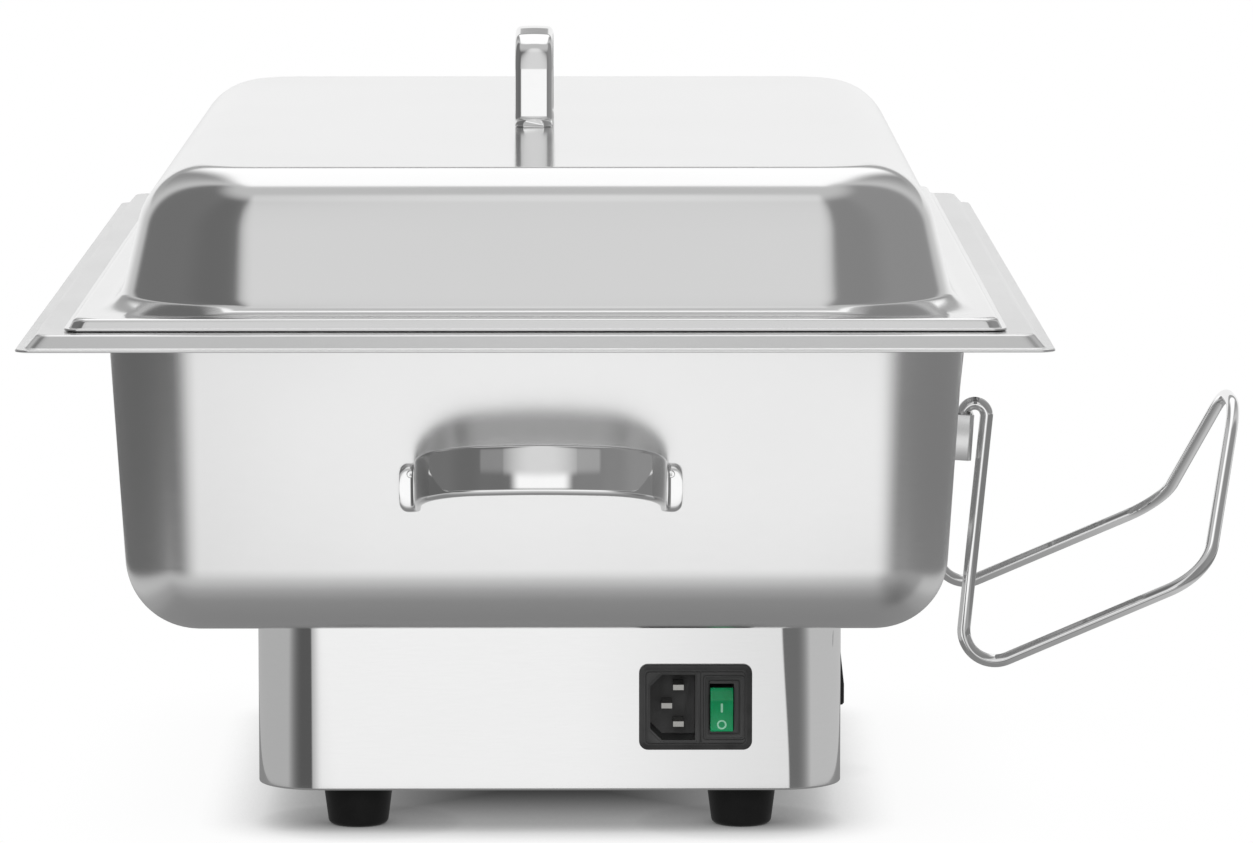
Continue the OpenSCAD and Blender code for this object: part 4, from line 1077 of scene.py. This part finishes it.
def inlet_housing():
    """Bezel with a rounded edge, the socket with its pins' slots, and the recess round the rocker."""
    def at(x, z):
        return (INLET.x + x, INLET.z + z)

    rings = []
    for inset, out in BEZEL_EDGE:
        ring = round_rectangle(BEZEL_W - 2 * inset, BEZEL_H - 2 * inset, BEZEL_R - inset, *at(0, 0))
        rings.append([(x, INLET.y - out, z) for x, z in ring])
    body = rectangle(INLET_BODY_W, INLET_BODY_H, *at(0, 0))
    parts = [loft(rings), prism(body, "y", INLET.y + BODY_GAP, bezel_high.y)]
    piece = make_piece("inlet_moulding", parts, PLASTIC, "base", "inlet_housing")
    front = INLET.y - BEZEL_T
    ahead = front - CUT_PAST
    recess_floor = front + RECESS_DEPTH
    socket_x = SOCKET_FROM_LEFT - BEZEL_W / 2
    recess_x = BEZEL_W / 2 - RECESS_FROM_RIGHT
    rocker_x = BEZEL_W / 2 - ROCKER_FROM_RIGHT
    socket = [at(socket_x + x, z) for x, z in socket_outline(0)]
    lead_in = [at(socket_x + x, z) for x, z in socket_outline(SOCKET_LEAD_IN)]
    recess = round_rectangle(RECESS_W, RECESS_H, 0.8, *at(recess_x, 0), steps=3)
    inner_size = (RECESS_W - 2 * RECESS_STEP, RECESS_H - 2 * RECESS_STEP)
    inner = round_rectangle(*inner_size, 0.6, *at(recess_x, 0), steps=3)
    well = round_rectangle(ROCKER_W + 0.6, ROCKER_H + 1.2, 0.5, *at(rocker_x, 0), steps=3)
    line_w = BEZEL_W - 2 * BEZEL_LINE_IN
    line_h = BEZEL_H - 2 * BEZEL_LINE_IN
    seam = rectangle(GROOVE, line_h - 0.4, *at(SEAM_X, 0))
    cut_with(
        piece,
        prism(socket, "y", ahead, front + SOCKET_DEPTH),
        prism(lead_in, "y", ahead, front + SOCKET_LEAD_IN),
        prism(recess, "y", ahead, front + RECESS_DEPTH * RECESS_STEP_SHARE),
        prism(inner, "y", ahead, recess_floor),
        prism(well, "y", ahead, INLET.y + ROCKER_PIVOT_IN + WELL_DEPTH),
        frame_groove(line_w, line_h, 1.6, at(0, 0), front),
        frame_groove(RECESS_W + 2 * FRAME_OUT, RECESS_H + 2 * FRAME_OUT, 1.2, at(recess_x, 0), front),
        frame_groove(RECESS_W - 2 * FRAME_IN, RECESS_H - 2 * FRAME_IN, 0.8, at(recess_x, 0), recess_floor),
        prism(seam, "y", ahead, front + GROOVE_DEPTH),
    )
    row = socket_x + EARTH_OFF / 2
    for x, z in ((row, PIN_PITCH / 2), (row, -PIN_PITCH / 2), (row - EARTH_OFF, 0)):
        slot = rectangle(PIN_W + PIN_ROOM, PIN_T + PIN_ROOM, *at(x, z))
        cut_with(piece, prism(slot, "y", front + SOCKET_DEPTH - 2, bezel_high.y + CUT_PAST))
    soften(piece, INLET_EDGE_R, 2, 40)


def rocker():
    """Green rocker key: a dished face, a slanted top facet, and its I and O marks."""
    pivot = INLET + Vector((BEZEL_W / 2 - ROCKER_FROM_RIGHT, ROCKER_PIVOT_IN, 0))
    half = ROCKER_H / 2
    front = -(ROCKER_PIVOT_IN + BEZEL_T - RECESS_DEPTH + ROCKER_PROUD)
    dish_h = ROCKER_H - ROCKER_FACET

    def face_y(z):
        share = 2 * (z + half) / dish_h - 1
        return front + ROCKER_DISH * (1 - share * share)

    def inlay(*edges):
        """A thin print on the face: one outline that is filled, or two with a ring between them."""
        depths = (MARK_DEPTH, -MARK_PROUD, -MARK_PROUD, MARK_DEPTH)
        pairs = zip([edge for edge in edges for _ in range(2)], depths)
        rings = [[(x, face_y(z) + depth, z) for x, z in edge] for edge, depth in pairs]
        return loft(rings, loop=len(edges) > 1)

    heights = [dish_h * k / ROCKER_STEPS - half for k in range(ROCKER_STEPS + 1)]
    outline = [(face_y(z), z) for z in heights]
    heel = half - ROCKER_HEEL
    outline += [(front + ROCKER_FACET_BACK, half), (0, heel), (ROCKER_BACK, 0), (0, -heel)]
    tilt = Matrix.Translation(pivot) @ Matrix.Rotation(ROCKER_TRAVEL / 2, 4, "X")
    solid = prism(outline, "x", -ROCKER_W / 2, ROCKER_W / 2)
    pin_end = ROCKER_W / 2 + ROCKER_PIN_OUT
    pin = prism(disc(ROCKER_PIN_R, 24), "x", -pin_end, pin_end)
    piece = make_piece("rocker_key", [solid, pin], GREEN, "rocker_key", "rocker", place=tilt)
    soften(piece, ROCKER_EDGE_R, 3, 30)
    bar = inlay(round_rectangle(0.8, 3.6, 0.25, 0, 1.0))
    circle = inlay(disc(1.8, 40, 0, RING_MARK_Z), disc(1.2, 40, 0, RING_MARK_Z))
    make_piece(
        "rocker_marks", [bar, circle], MINT, "rocker_key", smooth=False, place=tilt
    )


def dial():
    """Thermostat dial: ribbed skirt, slanted finger grip, pointer and tick marks."""
    turn = Matrix.Translation(KNOB) @ Matrix.Rotation(math.pi / 2, 4, "Y")
    radius = KNOB_D / 2
    out = knob_high.x - knob_low.x
    top = KNOB_SKIRT
    count = KNOB_RIBS * KNOB_RIB_STEPS

    def ribbed(inset, z):
        ring = []
        for k in range(count):
            w = 2 * math.pi * k / count
            wave = 0.5 + 0.5 * math.cos(KNOB_RIBS * w)
            r = radius - inset - KNOB_RIB_H * wave ** 2
            ring.append((r * math.cos(w), r * math.sin(w), z))
        return ring

    def printed(length, width, x):
        """A thin bar of print on the skirt."""
        return prism(rectangle(length, width, x, 0), "z", top - PRINT_DEPTH, top + PRINT_PROUD)

    edge = [(0.25, 0.0), (0.0, 0.25), (0.0, top - 0.5), (0.15, top - 0.15), (0.5, top)]
    skirt = loft([ribbed(inset, z) for inset, z in edge])
    make_piece(
        "dial_skirt", [skirt], DIAL_PLASTIC, "knob", "thermostat_knob", sharp=40, place=turn
    )
    half = KNOB_GRIP_W / 2
    reach = radius - KNOB_GRIP_IN
    outline = [
        (-reach, top - 0.4),
        (reach, top - 0.4),
        (reach, out - 0.7),
        (reach - 0.8, out),
        (reach * 0.45, out),
        (-reach + 0.6, top + 0.7),
        (-reach, top + 0.2),
    ]
    grip = prism(outline, "y", -half, half)
    piece = make_piece("dial_grip", [grip], DIAL_PLASTIC, "knob", place=turn)
    soften(piece, KNOB_EDGE_R, 3, 30)
    marks = [printed(*POINTER, -reach - 0.2)]
    start = 180 + (360 - DIAL_SWEEP) / 2
    for k in range(DIAL_STEPS * 2 + 1):
        angle = math.radians(start + DIAL_SWEEP * k / (DIAL_STEPS * 2))
        length = TICK_LENGTHS[k % 2]
        tick = printed(length, TICK_W, radius - TICK_IN - length / 2)
        marks.append(moved(tick, Matrix.Rotation(angle, 4, "Z")))
    make_piece("dial_scale", marks, DIAL_PRINT, "knob", smooth=False, place=turn)


# Stage: floor, light, world and camera
# A ramp is (start, end) or (start, end, low, high). Stops are (value, level).

# Floor, in metres. Its glow for metal is painted light and shade: a painted shadow round the tank, a painted
# light fan in front of the base, painted dark sides.
FLOOR_HALF = 9.0
PAINTED_SHADOW_STOPS = ((-0.05, 0.25), (0.03, 0.27), (0.07, 0.36), (0.15, 0.58), (0.26, 0.8))
PAINTED_CORNER_SHADE_RAMPS = ((0.1, 0.2), (0.2, 0.3, 1.0, 0.0), (-0.03, 0.02))
PAINTED_CORNER_SHADE = (0.0, 1.0, 1.0, 0.6)
PAINTED_LIGHT_RAMP = (0.2, 0.5, 0.0, 0.32)
PAINTED_DARK_RAMP = (-0.2, 0.2, 0.14, 0.22)
PAINTED_DARK_FROM = (0.14, 0.34)
FAN_HALF = 0.1
FAN_LEAST = 0.03
FAN_LEFT_RAMP = (-0.1, 0.0, 0.08, 0.0)
FAN_EDGE = (0.05, 0.66, 1.0, 0.0)
REAR_FLOOR, REAR_LEVEL = (1.0, 1.5), 0.94
FAR_FLOOR, FAR_LEVEL = (-1.5, -2.0), 0.5
# Painted contact shadow that the camera sees on the glowing floor, painted darker under the base.
CONTACT_SHADES = ((0.03, 0.9), (0.09, 0.1))
CONTACT_SAMPLES = 12
PAINTED_UNDER_BASE_SHADOW = (0.0, 0.1, 1.0, 0.12)

# Glowing card round the base, a painted reflection, with pairs for its left and right
SKIRT_FOOT_OUT = 92.5
SKIRT_TOP_OUT = 32.5
SKIRT_BELOW_TANK = 4.5
SKIRT_TURN_X = 0.0905
SKIRT_LEAST_GAP = 0.004
WHITE_LEFT = (-0.1, 0.28, 1.02, 0.52)
WHITE_RIGHT = (0.0, 0.1, 1.02, 0.85)
WHITE_EDGE_LEFT = 0.28
WHITE_EDGE_RIGHT = (0.38, 0.045)
WHITE_EDGE_RAMP = (-0.04, 0.04, 1.0, 0.0)
PAINTED_DARK_CORNER_LEVELS = (0.105, 0.165)
BESIDE_LEVELS = (0.48, 0.56)
BESIDE_RAMP = (0.7, 2.6)

# World, by a direction's height and by how far it turns to the rear
TOP_LEVEL = 0.58
SIDE_STOPS = ((-0.75, 0.165), (-0.3, 0.19))
SIDE_BY_RIGHT = (-0.5, 0.5, 0.95, 1.55)
SIDE_REAR, SIDE_REAR_LEVEL = (0.56, 0.72), 0.6
SIDE_TOP = (0.9, 0.99)
AHEAD_STOPS = (
    (0.12, 0.55), (0.17, 1.1), (0.23, 1.1), (0.3, 0.765),
    (0.9, 0.765), (0.95, 0.85), (0.975, 0.85), (0.995, TOP_LEVEL),
)
AHEAD_WIDE = (-0.988, -0.976, 1.0, 0.0)
AHEAD_NARROW = (-0.9995, -0.95, 1.0, 0.0)
AHEAD_NARROWS = (0.24, 0.3)
BEHIND_STOPS = ((0.19, 0.935), (0.215, 0.38))
BEHIND_MIDDLE = 0.03
BEHIND_HIGH = (0.15, 0.32, 1.18, 0.3)
BEHIND_RISE = (0.33, 0.38)
BEHIND_TOP = (0.985, 0.995)
BEHIND_RAMP = (0.72, 0.96)


def axes(tree, vector):
    """The three parts of a vector."""
    parts = add_node(tree, "SeparateXYZ", {"Vector": vector})
    return parts["X"], parts["Y"], parts["Z"]


def distance(tree, value, middle):
    """How far a value is from a middle, either way."""
    return calc(tree, "ABSOLUTE", calc(tree, "SUBTRACT", value, middle))


def levels(tree, value, stops):
    """A level that goes from stop to stop with a value."""
    result = stops[0][1]
    for (start, low), (end, high) in zip(stops, stops[1:]):
        if high != low:
            result = calc(tree, "ADD", result, slope(tree, value, start, end, 0.0, high - low))
    return result


def mix_surface(tree, output, share, first, second):
    """Makes a mix of two shaders the surface of a material or of the world."""
    mixed = add_node(tree, "MixShader", {"Fac": share, 1: first, 2: second})["Shader"]
    plug(tree, tree.nodes[output], {"Surface": mixed})


def glow(tree, strength):
    return add_node(tree, "Emission", {"Strength": strength})["Emission"]


def stage_mesh(name, verts, faces, material):
    """A stage piece from corners and faces in metres."""
    mesh = bpy.data.meshes.new(name)
    mesh.from_pydata(verts, [], faces)
    mesh.materials.append(material)
    piece = add_object(name, mesh)
    return piece


def painted_light_floor():
    """A pale floor that glows. The camera sees it white with a painted contact shadow. Metal sees a painted
    shadow round the tank, a painted light fan in front of the base and painted dark sides.
    """
    material, tree, shader = new_material("painted_light_floor")
    tree.nodes.remove(shader)
    x, y, _ = axes(tree, coordinates(tree, "Object"))
    offset = calc(tree, "SUBTRACT", x, BASE_X * MM)
    across = calc(tree, "ABSOLUTE", offset)
    along = calc(tree, "ABSOLUTE", y)
    beside = calc(tree, "SUBTRACT", distance(tree, x, TANK_X * MM), (TANK_HALF.x - WALL_IN) * MM)
    in_front = calc(tree, "SUBTRACT", along, (TANK_HALF.y - WALL_IN) * MM)
    near = calc(tree, "MAXIMUM", beside, in_front)
    corner = [slope(tree, value, *ramp) for value, ramp in zip((offset, near, in_front), PAINTED_CORNER_SHADE_RAMPS)]
    corner = calc(tree, "MULTIPLY", calc(tree, "MULTIPLY", *corner[:2]), corner[2])
    # Painted shadow by distance from the tank's wall line, painted darker still at the right corner.
    shadow = levels(tree, near, PAINTED_SHADOW_STOPS)
    shadow = calc(tree, "MULTIPLY", shadow, slope(tree, corner, *PAINTED_CORNER_SHADE))
    # Painted light on the open floor, a painted dark floor at the sides, and the painted light fan in front
    # of the base.
    painted_open_floor = calc(tree, "ADD", shadow, slope(tree, near, *PAINTED_LIGHT_RAMP))
    dark = slope(tree, offset, *PAINTED_DARK_RAMP)
    ahead = calc(tree, "MAXIMUM", calc(tree, "SUBTRACT", base_low.y * MM, y), FAN_LEAST)
    painted_fan = calc(tree, "DIVIDE", calc(tree, "SUBTRACT", across, FAN_HALF), ahead)
    painted_fan = calc(tree, "ADD", painted_fan, slope(tree, offset, *FAN_LEFT_RAMP))
    # What metal sees of the floor: painted shade and painted light, lighter behind and greyer far off.
    painted_ground = blend(tree, slope(tree, near, *PAINTED_DARK_FROM), shadow, dark)
    painted_ground = blend(tree, slope(tree, painted_fan, *FAN_EDGE), painted_ground, painted_open_floor)
    painted_ground = blend(tree, slope(tree, y, *REAR_FLOOR), painted_ground, REAR_LEVEL)
    painted_ground = blend(tree, slope(tree, y, *FAR_FLOOR), painted_ground, FAR_LEVEL)
    # Painted contact shadow for the camera: occlusion, and a painted shadow deeper under the base.
    shades = []
    for reach, weight in CONTACT_SHADES:
        contact = add_node(tree, "AmbientOcclusion", {"Distance": reach}, samples=CONTACT_SAMPLES)["AO"]
        shades.append(calc(tree, "MULTIPLY", contact, weight))
    inside = calc(
        tree, "MINIMUM",
        calc(tree, "SUBTRACT", base_high.y * MM, along),
        calc(tree, "SUBTRACT", (base_high.x - BASE_X) * MM, across),
    )
    paper_with_painted_shadow = calc(tree, "MULTIPLY", calc(tree, "ADD", *shades), slope(tree, inside, *PAINTED_UNDER_BASE_SHADOW))
    seen = add_node(tree, "LightPath")["Is Camera Ray"]
    mix_surface(tree, "Material Output", seen, glow(tree, painted_ground), glow(tree, paper_with_painted_shadow))
    corners = [(x, y, 0) for x, y in rectangle(2 * FLOOR_HALF, 2 * FLOOR_HALF)]
    stage_mesh("floor", corners, [(0, 1, 2, 3)], material)


def painted_reflection_skirt():
    """A glowing card that leans over all round the base, a painted reflection: white ahead, dark at the
    corners, grey beside.

    Only metal sees it, and only from inside.
    """
    material, tree, shader = new_material("painted_reflection_card")
    tree.nodes.remove(shader)
    x, y, z = axes(tree, coordinates(tree, "Object"))
    height = BASE_TOP - SKIRT_BELOW_TANK
    offset = calc(tree, "SUBTRACT", x, BASE_X * MM)
    at_right = calc(tree, "GREATER_THAN", offset, 0.0)
    gap = calc(tree, "SUBTRACT", calc(tree, "ABSOLUTE", y), BASE_HALF.y * MM)
    turn = calc(tree, "SUBTRACT", calc(tree, "ABSOLUTE", offset), SKIRT_TURN_X)
    turn = calc(tree, "DIVIDE", turn, calc(tree, "MAXIMUM", gap, SKIRT_LEAST_GAP))
    # Painted reflection: white ahead, painted dark corners, grey beside.
    white = blend(tree, at_right, slope(tree, turn, *WHITE_LEFT), slope(tree, offset, *WHITE_RIGHT))
    edge = blend(tree, at_right, WHITE_EDGE_LEFT, slope(tree, z, 0.0, height * MM, *WHITE_EDGE_RIGHT))
    dark = blend(tree, at_right, *PAINTED_DARK_CORNER_LEVELS)
    beside = blend(tree, at_right, *BESIDE_LEVELS)
    shade = blend(tree, slope(tree, turn, *BESIDE_RAMP), dark, beside)
    past_edge = slope(tree, calc(tree, "SUBTRACT", turn, edge), *WHITE_EDGE_RAMP)
    shade = blend(tree, past_edge, shade, white)
    clear = add_node(tree, "BsdfTransparent")["BSDF"]
    outside = add_node(tree, "NewGeometry")["Backfacing"]
    mix_surface(tree, "Material Output", outside, glow(tree, shade), clear)
    rings = []
    for out, level in ((SKIRT_FOOT_OUT, 0.0), (SKIRT_TOP_OUT, height)):
        ring = corner_ring(BASE_HALF.x + out, BASE_HALF.y + out, BASE_R + out, level)
        rings.append([(p + Vector((BASE_X, 0, 0))) * MM for p in ring])
    verts, faces = loft(rings, caps=False)
    skirt = stage_mesh("painted_reflection_skirt", verts, [face[::-1] for face in faces], material)
    skirt.visible_camera = False
    skirt.visible_diffuse = False
    skirt.visible_shadow = False


def studio_world():
    """White to the camera. Metal sees a studio: a pale wall in front, a white one behind, dark sides."""
    world = bpy.data.worlds.new("studio")
    bpy.context.scene.world = world
    world.use_nodes = True
    tree = world.node_tree
    direction = coordinates(tree, "Generated")
    sideways, _, height = axes(tree, direction)
    flat = add_node(tree, "VectorMath", {0: direction, 1: (1, 1, 0)}, operation="MULTIPLY")["Vector"]
    level = add_node(tree, "VectorMath", {0: flat}, operation="NORMALIZE")["Vector"]
    right, rear, _ = axes(tree, level)
    side = calc(tree, "MULTIPLY", levels(tree, rear, SIDE_STOPS), slope(tree, right, *SIDE_BY_RIGHT))
    side = blend(tree, slope(tree, rear, *SIDE_REAR), side, SIDE_REAR_LEVEL)
    side = blend(tree, slope(tree, height, *SIDE_TOP), side, TOP_LEVEL)
    ahead = levels(tree, height, AHEAD_STOPS)
    behind_high = slope(tree, distance(tree, sideways, BEHIND_MIDDLE), *BEHIND_HIGH)
    behind = blend(tree, slope(tree, height, *BEHIND_RISE), levels(tree, height, BEHIND_STOPS), behind_high)
    behind = blend(tree, slope(tree, height, *BEHIND_TOP), behind, TOP_LEVEL)
    wide = slope(tree, rear, *AHEAD_WIDE)
    narrow = slope(tree, rear, *AHEAD_NARROW)
    light = blend(tree, blend(tree, slope(tree, height, *AHEAD_NARROWS), wide, narrow), side, ahead)
    light = blend(tree, slope(tree, rear, *BEHIND_RAMP), light, behind)
    path = add_node(tree, "LightPath")
    seen = blend(tree, path["Is Glossy Ray"], 1.0, light)
    white = (1, 1, 1, 1)
    room = tree.nodes["Background"]
    plug(tree, room, {"Color": white, "Strength": light})
    backdrop = add_node(tree, "Background", {"Color": white, "Strength": seen})["Background"]
    clear = calc(tree, "MAXIMUM", path["Is Camera Ray"], path["Is Transmission Ray"])
    clear = calc(tree, "MAXIMUM", clear, path["Is Glossy Ray"])
    mix_surface(tree, "World Output", clear, room.outputs["Background"], backdrop)


def softbox(name, place, aim, size, power):
    """A rectangular soft light that points at a place."""
    data = bpy.data.lights.new(name, "AREA")
    data.shape = "RECTANGLE"
    data.size, data.size_y = size
    data.energy = power
    light = add_object(name, data)
    light.location = place
    light.rotation_mode = "QUATERNION"
    light.rotation_quaternion = (Vector(aim) - Vector(place)).to_track_quat("-Z", "Y")
    light.visible_glossy = False
    light.visible_camera = False


def camera():
    """The photograph's camera."""
    data = bpy.data.cameras.new("camera")
    data.sensor_fit = "HORIZONTAL"
    data.sensor_width = SENSOR_MM
    data.lens = FOCAL_PX * SENSOR_MM / PHOTO_W
    data.clip_end = 100
    view = add_object("camera", data)
    lip_z = SHELF_Z - TANK_T / 2 - STEP_H
    view.location = (Vector((TANK_X, 0, lip_z)) + CAMERA_FROM_TANK) * MM
    view.rotation_euler = (math.pi / 2 - CAMERA_PITCH, 0, -CAMERA_YAW)
    bpy.context.scene.camera = view


# Build

camera()
studio_world()
painted_light_floor()
painted_reflection_skirt()
softbox("overhead", (TANK_X * MM, 0.35, 2.3), (TANK_X * MM, 0.0, 0.2), (2.2, 2.2), 60)
softbox("front_fill", (TANK_X * MM, -2.2, 0.9), (TANK_X * MM, 0.0, 0.1), (1.2, 0.8), 25)

water_tank()
food_pan()
lid()
tank_handle("bow_handle_front", "tank_handle_front", 0)
tank_handle("bow_handle_rear", "tank_handle_rear", 180)
lid_handle()
lid_holder()
holder_pocket("pocket_front", "holder_pocket_front", -HOLDER_SPAN / 2)
holder_pocket("pocket_rear", "holder_pocket_rear", HOLDER_SPAN / 2)
base_housing()
for corner in ("front_left", "front_right", "rear_left", "rear_right"):
    foot("rubber_foot_" + corner, "foot_" + corner)
inlet_housing()
rocker()
dial()
for material, nodes in MESH_LOOKS:
    for node in nodes.split():
        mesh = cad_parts[node].data
        mesh.materials.clear()
        mesh.materials.append(material)

bpy.context.scene.view_settings.view_transform = "Standard"
